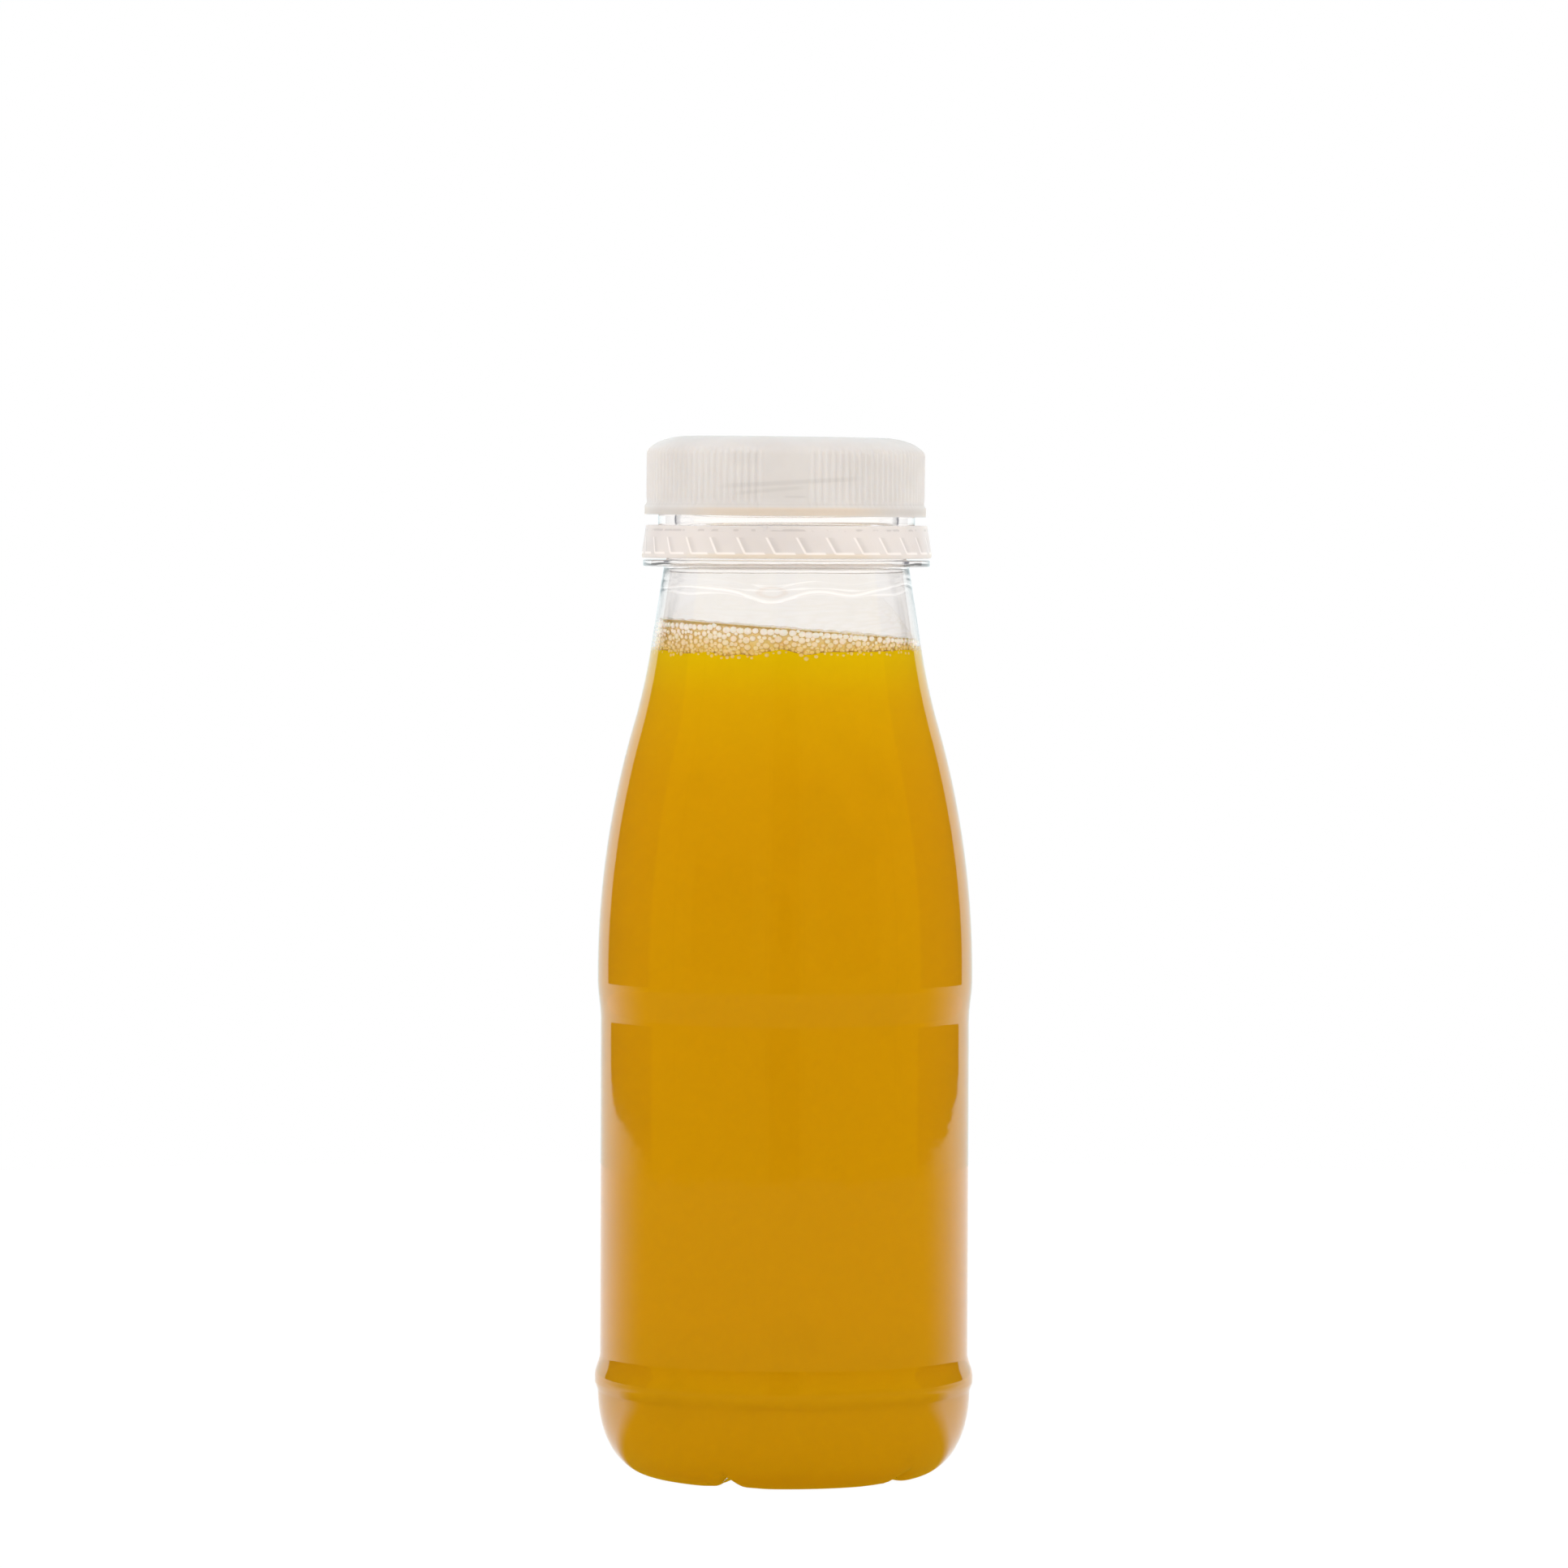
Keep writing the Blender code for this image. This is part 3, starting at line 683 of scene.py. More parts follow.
@dataclass(frozen=True)
class MilkyPlastic:
    """Uncoloured milky plastic that lets a soft light through. A painted glow lightens it, and painted shade, painted
    highlights and a band of painted warm light mark it.
    """

    effects: SharedEffects
    name: str
    body: Colour
    shade: Colour
    # The warm colour is painted warm light, laid in a band between its bottom and top heights and strongest in arcs
    # round the axis.
    painted_warm_light: Colour
    painted_warm_bottom: float
    painted_warm_top: float
    streaks: tuple[PaintedShadeStreak, ...] = ()
    flaps: bool = False
    painted_warm_arcs: int = 3
    painted_arc_span: Span = (52.0, 24.0)
    painted_arc_share: Span = (0.12, 0.8)
    cloud_span: Span = (0.35, 0.72)
    painted_shade_share: float = 0.72
    painted_highlight_share: float = 1.3
    # The glow is a painted glow that stands in for light passing through.
    painted_glow: float = 0.24
    clearness: float = 0.4

    def material(self) -> bpy.types.Material:
        """Builds the finish.

        Returns:
            The material.
        """
        material, bench, shader = new_material(self.name)
        skin = bench.group(
            self.effects.skin, Cloud_Scale=110.0, Grain_Scale=2400.0, Gloss=0.36, Gloss_Spread=0.16, Relief=0.12
        )
        place = bench.group(self.effects.place)
        colour = bench.mix(bench.span(skin.outputs["Cloud"], *self.cloud_span), self.body, self.shade)
        # A band of painted warm light near the lower edge, strongest in arcs round the axis.
        middle, width = 0.5 * (self.painted_warm_bottom + self.painted_warm_top), self.painted_warm_top - self.painted_warm_bottom
        painted_warm_band = bench.span(bench.away(place.outputs["Height"], middle), 0.5 * width, 0.2 * width)
        third = 0.5 * FULL_TURN / self.painted_warm_arcs
        turn = bench.sum("ABSOLUTE", bench.sum("WRAP", place.outputs["Azimuth"], third, -third))
        painted_warm_band = bench.product(painted_warm_band, bench.span(turn, *self.painted_arc_span, *self.painted_arc_share))
        colour = bench.mix(painted_warm_band, colour, self.painted_warm_light)
        # Painted shade along each streak.
        for streak in self.streaks:
            colour = bench.mix(self.painted_shade_mask(bench, streak), colour, self.painted_shade_line())
        # The flaps show as painted shade on their faces, painted shadow dashes above them and painted highlights on
        # their edges.
        if self.flaps:
            marks = bench.group(self.effects.flaps)
            for name, share, line in (
                ("Face", 0.4, self.painted_shade_line()),
                ("Dash", 0.6, self.painted_shade_line()),
                ("Edge", 0.7, self.painted_highlight_line()),
            ):
                colour = bench.mix(bench.product(marks.outputs[name], share), colour, line)
        bench.feed(shader, "Base Color", colour)
        bench.feed(shader, "Roughness", skin.outputs["Roughness"])
        bench.feed(shader, "Normal", skin.outputs["Normal"])
        bench.feed(shader, "Specular IOR Level", 0.2)
        bench.feed(shader, "Subsurface Weight", 0.5)
        bench.feed(shader, "Subsurface Scale", 0.002)
        bench.feed(shader, "Subsurface Radius", (1.0, 0.8, 0.6))
        bench.feed(shader, "Transmission Weight", self.clearness)
        # Painted glow: the plastic's colour, painted shade and warm light included, given off as light.
        bench.feed(shader, "Emission Color", colour)
        bench.feed(shader, "Emission Strength", self.painted_glow)
        bench.feed(shader, "IOR", 1.5)
        return material

    def painted_shade_line(self) -> Colour:
        """The painted shade of a thread or an edge that shows through the wall."""
        return tuple(part * self.painted_shade_share for part in self.shade)

    def painted_highlight_line(self) -> Colour:
        """The colour of a painted highlight on an edge that catches the light behind the wall."""
        return tuple(min(part * self.painted_highlight_share, 1.0) for part in self.body)

    def painted_shade_mask(self, bench: Bench, streak: PaintedShadeStreak) -> bpy.types.NodeSocket:
        """The mask of one streak of painted shade and its copies round the axis.

        Args:
            bench: The material's bench.
            streak: The streak.

        Returns:
            The mask, as strong as the streak.
        """
        total: Socket = 0.0
        for i in range(streak.copies):
            line = bench.group(
                self.effects.helix,
                Start=streak.start + i * FULL_TURN / streak.copies,
                Sweep=streak.sweep,
                Bottom=streak.bottom,
                Lead=streak.lead,
                Half_Width=streak.half_width,
            )
            total = bench.sum("MAXIMUM", total, line.outputs["Mask"])
        return bench.product(total, streak.share)


@dataclass(frozen=True)
class OrangeJuice:
    """Cloudy juice with a trace of fine pulp, its colour by height painted light: brighter towards the top and deeper
    in colour towards the base.
    """

    effects: SharedEffects
    # Colour by height, painted light: brighter and yellower towards the top, where light enters from above, deeper
    # towards the base.
    stops: tuple[tuple[float, Colour], ...] = (
        (0.0, (0.785, 0.355, 0.0)),
        (0.03, (0.775, 0.395, 0.0)),
        (0.11, (0.73, 0.378, 0.0)),
        (0.21, (0.772, 0.39, 0.0)),
        (0.41, (0.776, 0.40, 0.0)),
        (0.775, (0.785, 0.406, 0.0)),
        (0.854, (0.80, 0.424, 0.0)),
        (0.943, (0.835, 0.49, 0.0)),
        (1.0, (0.87, 0.61, 0.0)),
    )
    top: float = 121.6
    pulp: Colour = (0.86, 0.50, 0.0)
    pulp_span: Span = (0.30, 0.12)
    pulp_share: float = 0.05
    cloud_share: float = 0.08

    def material(self) -> bpy.types.Material:
        """Builds the finish.

        Returns:
            The material.
        """
        material, bench, shader = new_material(Slot.JUICE.value)
        place = bench.group(self.effects.place)
        skin = bench.group(
            self.effects.skin, Cloud_Scale=45.0, Grain_Scale=900.0, Gloss=0.35, Gloss_Spread=0.1, Relief=0.0
        )
        spot = bench.add("ShaderNodeTexCoord").outputs["Object"]
        # Painted light by height, from the ramp above.
        colour = bench.ramp(bench.sum("DIVIDE", place.outputs["Height"], self.top), self.stops)
        pulp = bench.add("ShaderNodeTexVoronoi", {"Vector": spot, "Scale": 900.0}).outputs["Distance"]
        share = bench.product(bench.span(pulp, *self.pulp_span), self.pulp_share)
        share = bench.sum("ADD", share, bench.product(skin.outputs["Cloud"], self.cloud_share))
        bench.feed(shader, "Base Color", bench.mix(share, colour, self.pulp))
        bench.feed(shader, "Roughness", skin.outputs["Roughness"])
        bench.feed(shader, "Normal", skin.outputs["Normal"])
        bench.feed(shader, "Specular IOR Level", 0.01)
        return material


@dataclass(frozen=True)
class JuiceFroth:
    """Small bubbles, pale in their middles from a painted highlight and tan where they meet, partly the juice film
    between them and partly painted shade, all lifted by a painted glow.
    """

    effects: SharedEffects
    # The pale colour is a painted highlight in each bubble's middle; the seam colour is partly juice film and partly
    # painted shade.
    pale: Colour = (0.93, 0.85, 0.76)
    body: Colour = (0.79, 0.62, 0.29)
    seam: Colour = (0.57, 0.39, 0.11)
    wet: Colour = (0.76, 0.51, 0.05)
    painted_highlight_until: float = 0.35
    body_at: float = 0.62
    wander: float = 0.35
    wet_share: float = 0.72
    # The glow is the strength of the froth's painted glow.
    painted_glow: float = 0.2

    def material(self) -> bpy.types.Material:
        """Builds the finish.

        Returns:
            The material.
        """
        material, bench, shader = new_material(Slot.FROTH.value)
        skin = bench.group(
            self.effects.skin, Cloud_Scale=500.0, Grain_Scale=2600.0, Gloss=0.22, Gloss_Spread=0.12, Relief=0.1
        )
        rim, depth = (bench.mark(name) for name in MARKS)
        wander = bench.product(bench.sum("SUBTRACT", skin.outputs["Cloud"], 0.5), self.wander)
        rim = bench.sum("ADD", rim, wander, clamp=True)
        # Painted highlight in the middle of each bubble, then body colour, then the seam of juice film and painted
        # shade at the rim.
        stops = ((0.0, self.pale), (self.painted_highlight_until, self.pale), (self.body_at, self.body), (1.0, self.seam))
        wet = bench.mix(bench.product(depth, self.wet_share), bench.ramp(rim, stops), self.wet)
        bench.feed(shader, "Base Color", wet)
        bench.feed(shader, "Roughness", skin.outputs["Roughness"])
        bench.feed(shader, "Normal", skin.outputs["Normal"])
        bench.feed(shader, "Specular IOR Level", 0.12)
        bench.feed(shader, "Subsurface Weight", 0.25)
        bench.feed(shader, "Subsurface Scale", 0.0006)
        # Painted glow: the froth gives off its own colour as light.
        bench.feed(shader, "Emission Color", wet)
        bench.feed(shader, "Emission Strength", self.painted_glow)
        return material


@dataclass
class BottleShape:
    """The bottle's form, which the shell, the juice and the froth share."""

    wall: float = 0.0005
    wall_slant: float = 1.013
    cone_top: float = 0.1327
    cone_bottom: float = 0.1219
    cone_slope: float = 0.157
    sweep_bottom: float = 0.1106
    shoulder_radius: float = 0.02762
    shoulder_height: float = 0.0741
    shoulder_curve: float = 0.1316
    body_radius: float = 0.02715
    waist_top: float = 0.0732
    waist_bottom: float = 0.0673
    rib_top: float = 0.0180
    rib_radius: float = 0.02792
    rib_crest_top: float = 0.0147
    rib_crest_bottom: float = 0.0138
    heel_radius: float = 0.0275
    heel_top: float = 0.0126
    heel_height: float = 0.0136
    heel_power: float = 2.3
    feet: int = 5
    foot_outer_radius: float = 0.0182
    foot_inner_radius: float = 0.0166
    first_valley: float = -21.7
    valley_half_width: float = 0.0060
    valley_depth: float = 0.0013
    valley_end_radius: float = 0.0218
    crease_half_width: float = 0.0026
    crease_depth: float = 0.0017
    crease_end_radius: float = 0.0250
    valley_fade: float = 0.0040
    valley_start_radius: float = 0.0070
    valley_bunching: float = 6.5
    push_up_height: float = 0.0042
    gate_radius: float = 0.0018
    gate_height: float = 0.0007
    foot_blend: float = 0.6
    steps: int = 200
    longest: float = 0.0016
    sweep_steps: int = 8
    shoulder_steps: int = 30
    waist_steps: int = 12
    rib_steps: int = 8
    heel_steps: int = 22
    push_up_steps: int = 12
    cone_reach: float = field(init=False)

    def __post_init__(self) -> None:
        """Works out once where the cone's straight line would meet the floor."""
        bottom, height = self.cone()[-1]
        self.cone_reach = bottom + self.cone_slope * height

    def shoulder_point(self, height: float) -> Point:
        """Radius of the shoulder's arc at this height, and how fast it widens downwards.

        Args:
            height: A height on the shoulder.

        Returns:
            The radius and the slope there.
        """
        rise = height - self.shoulder_height
        reach = math.sqrt(self.shoulder_curve**2 - rise**2)
        return self.shoulder_radius - self.shoulder_curve + reach, rise / reach

    def cone(self) -> Outline:
        """Top and bottom of the neck's cone, worked up from the sweep below it.

        Returns:
            The two ends of the straight line.
        """
        drop = self.cone_bottom - self.sweep_bottom
        radius, slope = self.shoulder_point(self.sweep_bottom)
        bottom = radius - 0.5 * (slope + self.cone_slope) * drop
        top = bottom - self.cone_slope * (self.cone_top - self.cone_bottom)
        return [(top, self.cone_top), (bottom, self.cone_bottom)]

    def cone_radius(self, height: float) -> float:
        """Radius of the cone at this height, carried on straight past both its ends."""
        return self.cone_reach - self.cone_slope * height

    def level_wall(self) -> float:
        """The wall's thickness on the cone, measured level."""
        return self.wall * self.wall_slant

    def sweep(self) -> Outline:
        """The hollow sweep between cone and shoulder, a parabola that matches both slopes.

        Returns:
            The points after the last one of the stretch above.
        """
        start, drop = self.cone()[-1][0], self.cone_bottom - self.sweep_bottom
        bend = (self.shoulder_point(self.sweep_bottom)[1] - self.cone_slope) / (2.0 * drop)
        falls = [drop * i / self.sweep_steps for i in range(1, self.sweep_steps + 1)]
        return [(start + self.cone_slope * f + bend * f * f, self.cone_bottom - f) for f in falls]

    def shoulder(self) -> Outline:
        """The round shoulder, from the sweep's end to just above the waist.

        Returns:
            The points after the last one of the stretch above.
        """
        span = self.sweep_bottom - self.waist_top
        steps = self.shoulder_steps
        heights = [self.sweep_bottom - span * i / steps for i in range(1, steps + 1)]
        return [(self.shoulder_point(z)[0], z) for z in heights]

    def waist(self) -> Outline:
        """The soft step in from the shoulder to the straight body.

        Returns:
            The points after the last one of the stretch above.
        """
        top, drop = self.shoulder_point(self.waist_top)[0], self.waist_top - self.waist_bottom
        parts = [i / self.waist_steps for i in range(1, self.waist_steps + 1)]
        return [(top - (top - self.body_radius) * smooth(t), self.waist_top - drop * t) for t in parts]

    def rib(self) -> Outline:
        """The swelling above the heel, eased in at its top.

        Returns:
            The points down to the top of its crest.
        """
        rise, drop = self.rib_radius - self.body_radius, self.rib_top - self.rib_crest_top
        parts = [i / self.rib_steps for i in range(self.rib_steps + 1)]
        return [(self.body_radius + rise * smooth(t), self.rib_top - drop * t) for t in parts]

    def heel(self) -> Outline:
        """The heel, a quarter of a superellipse down to the edge of the feet.

        Returns:
            The points from under the rib to the outer edge of the feet.
        """
        width, power = self.heel_radius - self.foot_outer_radius, 2.0 / self.heel_power
        first = math.asin((1.0 - self.heel_top / self.heel_height) ** (self.heel_power / 2.0))
        steps = self.heel_steps
        angles = [first + (0.5 * math.pi - first) * i / steps for i in range(steps + 1)]
        return [
            (
                self.foot_outer_radius + width * max(math.cos(a), 0.0) ** power,
                self.heel_height * (1.0 - math.sin(a) ** power),
            )
            for a in angles
        ]

    def push_up(self) -> Outline:
        """The push-up inside the feet, from their inner edge to the rim of the gate mark.

        Returns:
            The points after the last one of the stretch above.
        """
        outer, reach = self.foot_inner_radius, self.foot_inner_radius - self.gate_radius
        radii = [outer - reach * i / self.push_up_steps for i in range(1, self.push_up_steps + 1)]
        return [(r, self.push_up_height * smooth((outer - r) / reach)) for r in radii]

    def body(self) -> Outline:
        """The whole outside, from the cone's top to the rim of the gate mark under the base.

        Returns:
            The outline, with no stretch longer than longest.
        """
        outline = [
            *self.cone(),
            *self.sweep(),
            *self.shoulder(),
            *self.waist(),
            *self.rib(),
            (self.rib_radius, self.rib_crest_bottom),
            *self.heel(),
            (self.foot_inner_radius, 0.0),
            *self.push_up(),
        ]
        return divided(outline, self.longest)

    def outside(self) -> Outline:
        """The outside, closed by the gate mark."""
        gate = self.push_up_height - self.gate_height
        return [*self.body(), (self.gate_radius * 0.8, gate), (0.0, gate)]

    def lining(self, depth: float) -> Outline:
        """The outline at this depth inside the bottle's outside, closed on the axis."""
        return inset([*self.body(), (0.0, self.push_up_height)], depth)

    def valley_rise(self, radius: float, from_valley: float, grow: float) -> float:
        """How far the base rises at a point.

        Args:
            radius: The point's radius.
            from_valley: Its angle from the nearest valley, in degrees.
            grow: Clearance by which the valley is widened and deepened.

        Returns:
            The rise of the valley with the crease in its middle.
        """
        arc = abs(math.radians(from_valley)) * radius
        valley = max(1.0 - arc / (self.valley_half_width + grow), 0.0) ** 2
        crease = max(1.0 - arc / (self.crease_half_width + grow), 0.0) ** 2
        reach = radius - 2.0 * grow
        valley *= (self.valley_depth + grow) * smooth((self.valley_end_radius - reach) / self.valley_fade)
        crease *= self.crease_depth * smooth((self.crease_end_radius - reach) / self.valley_fade)
        return (valley + crease) * smooth((radius - self.valley_start_radius) / self.valley_start_radius)

    def shape_feet(self, work: bmesh.types.BMesh, grow: float = 0.0) -> None:
        """Raises the valleys between the feet, with facets bunched at each crease.

        Args:
            work: The shell or the fill, spun with as many steps as the bottle.
            grow: Clearance by which the valleys are widened and deepened.
        """
        pitch = FULL_TURN / self.feet
        nearest = FULL_TURN / self.steps * round(self.first_valley * self.steps / FULL_TURN)
        for vertex in work.verts:
            radius, height = vertex.co.xy.length, vertex.co.z
            if height > self.heel_top or radius < MERGE:
                continue
            azimuth = azimuth_of(vertex.co)
            blend = smooth((self.heel_top - height) / (self.foot_blend * self.heel_top))
            bunch = self.valley_bunching * math.sin(math.radians(self.feet * (azimuth - nearest)))
            azimuth += blend * (self.first_valley - nearest - bunch)
            from_valley = turn_between(azimuth, self.first_valley, pitch)
            vertex.co = around(radius, azimuth, height + self.valley_rise(radius, from_valley, grow))


@dataclass
class Thread:
    """Ridges of a three-start screw thread, raised on a spun wall."""

    starts: int
    lead: float
    sweep: float
    bottom: float
    azimuth: float
    root_half_width: float = 0.0005
    crest_half_width: float = 0.00028
    run_out: float = 9.0

    def share(self, azimuth: float, height: float) -> float:
        """How much of the ridge's height stands at a point of the wall, from 0 to 1.

        Args:
            azimuth: The point's azimuth.
            height: The point's height.

        Returns:
            The share of the ridge.
        """
        best = 0.0
        for i in range(self.starts):
            run = (azimuth - self.azimuth - i * FULL_TURN / self.starts) % FULL_TURN
            if run > self.sweep:
                continue
            away = abs(height - self.bottom - self.lead * run / FULL_TURN)
            flank = (self.root_half_width - away) / (self.root_half_width - self.crest_half_width)
            ends = smooth(min(run, self.sweep - run) / self.run_out)
            best = max(best, min(max(flank, 0.0), 1.0) * ends)
        return best


@dataclass
class BottleShell:
    """The blown bottle with its moulded neck finish."""

    shape: BottleShape
    lip_height: float = 0.1513
    bore_radius: float = 0.0163
    root_radius: float = 0.0172
    crest_radius: float = 0.0184
    bead_radius: float = 0.0189
    bead_top: float = 0.1418
    bead_bottom: float = 0.1396
    undercut_radius: float = 0.0177
    support_radius: float = 0.0211
    support_top: float = 0.1350
    support_bottom: float = 0.1341
    step_bottom: float = 0.1280
    step_middle: float = 0.1341
    step_low: float = 0.1351
    step_top: float = 0.1388
    step_wall: float = 0.0006
    ridge_height: float = 0.1307
    neck_blend: float = 0.0003
    neck_fillet: float = 0.0002
    lip_edge: float = 0.0004
    bead_edge: float = 0.0003
    thread_row: float = 0.00026
    bore_row: float = 0.003
    cone_rows: int = 60
    bore_rows: int = 8
    ring_edge: float = 0.00012
    # Painted glow on the thick neck finish, and how far below the step it starts and fades in.
    painted_thick_glow: float = 0.34
    painted_glow_drop: float = 0.0012
    painted_glow_fade: float = 0.0008
    ripple_margin: float = 0.001
    ripple_wall: float = 0.0002
    ridge_rise: float = 0.000045
    ridge_width: float = 0.00021
    unevenness: float = 0.000016
    unevenness_size: float = 0.0035
    echo_lift: float = 0.0013
    echo_rise: float = 0.000014
    echo_share: float = 0.6
    thread: Thread = field(default_factory=lambda: Thread(3, 0.0094, 136.0, 0.1437, -70.0))
    waves: tuple[Swell, ...] = (
        (-7.0, 13.0, -0.0017),
        (31.0, 11.0, -0.00075),
        (-52.0, 20.0, 0.0004),
        (72.0, 18.0, 0.0008),
        (125.0, 20.0, -0.0006),
        (175.0, 22.0, 0.0003),
        (-130.0, 18.0, -0.0005),
    )

    def neck(self) -> Outline:
        """Outer outline of the neck finish, from the edge of the bore to the cone.

        Returns:
            The outline.
        """
        low = self.support_bottom - self.neck_blend
        neck = self.shape.cone_radius(low)
        return [
            (self.bore_radius, self.lip_height),
            (self.root_radius, self.lip_height),
            *divided(
                [
                    (self.root_radius, self.lip_height - self.lip_edge),
                    (self.root_radius, self.bead_top + self.bead_edge),
                ],
                self.thread_row,
            ),
            (self.bead_radius, self.bead_top),
            (self.bead_radius, self.bead_bottom + self.bead_edge),
            (self.undercut_radius, self.bead_bottom),
            (self.undercut_radius, self.support_top),
            (self.support_radius, self.support_top),
            (self.support_radius, self.support_bottom),
            (neck + self.neck_fillet, self.support_bottom),
            (neck, low),
        ]

    def inside(self) -> Outline:
        """Inner outline, from the centre of the base up to the bore.

        Returns:
            The outline.
        """
        lining = below(self.shape.lining(self.shape.wall), self.step_bottom)
        rows, thin, thick = self.cone_rows, self.shape.level_wall(), self.step_wall
        first, second = self.step_middle - self.step_bottom, self.step_top - self.step_low
        heights = [self.step_bottom + first * i / rows for i in range(1, rows + 1)]
        walls = [thin + (thick - thin) * smooth(i / rows) for i in range(1, rows + 1)]
        cone = [(self.shape.cone_radius(z) - wall, z) for z, wall in zip(heights, walls)]
        high = cone[-1][0]
        count = self.bore_rows
        neck = [
            (high + (self.bore_radius - high) * smooth(i / count), self.step_low + second * i / count)
            for i in range(count + 1)
        ]
        top = [(self.bore_radius, self.step_top), (self.bore_radius, self.lip_height)]
        return [*reversed(lining), *cone, *neck, *divided(top, self.bore_row)[1:-1]]

    def wave(self, azimuth: float) -> float:
        """How far the ridge inside the neck wanders up or down at an azimuth."""
        return swell_at(azimuth, self.waves)

    def inner_ripple(self, azimuth: float, height: float) -> float:
        """How far the neck's inner wall stands in at a point, for the wavy ridge and its echo.

        Args:
            azimuth: The point's azimuth.
            height: The point's height.

        Returns:
            The rise of both ridges together.
        """
        wave = self.wave(azimuth)
        main = (height - self.ridge_height - wave) / self.ridge_width
        echo = (height - self.ridge_height - self.echo_lift - self.echo_share * wave) / self.ridge_width
        return self.ridge_rise * math.exp(-main * main) + self.echo_rise * math.exp(-echo * echo)

    def build(self) -> bpy.types.Object:
        """Builds the shell with its lobed base, its threads and the wavy ridge inside its neck.

        Returns:
            The piece.
        """
        work = spun([*self.inside(), *self.neck(), *self.shape.outside()], self.shape.steps)
        painted_glow = work.verts.layers.float.new(PAINTED_GLOW)
        round_rings(work, self.ring_edge)
        self.shape.shape_feet(work)
        for vertex in work.verts:
            radius, height, azimuth = vertex.co.xy.length, vertex.co.z, azimuth_of(vertex.co)
            # Painted glow on the thick neck above the cone's step.
            vertex[painted_glow] = self.painted_thick_glow * smooth((height - self.step_middle + self.painted_glow_drop) / self.painted_glow_fade)
            if height > self.bead_top and abs(radius - self.root_radius) < MERGE * 10.0:
                radius += (self.crest_radius - self.root_radius) * self.thread.share(azimuth, height)
                vertex.co = around(radius, azimuth, height)
            elif self.step_bottom - self.ripple_margin < height < self.step_middle and (
                radius < self.shape.cone_radius(height) - self.ripple_wall
            ):
                ripple = self.inner_ripple(azimuth, height)
                # A painted highlight along the wavy ridge, as strong as its rise.
                vertex[painted_glow] = ripple / self.ridge_rise
                ripple += self.unevenness * noise.noise(vertex.co / self.unevenness_size)
                vertex.co = around(radius - ripple, azimuth, height)
        return finished("bottle_shell", work)

    def dress(self, finish: ClearPlastic) -> None:
        """Builds the shell and puts it in its node's place."""
        fit(self.build(), "bottle", Slot.CLEAR, finish.material())


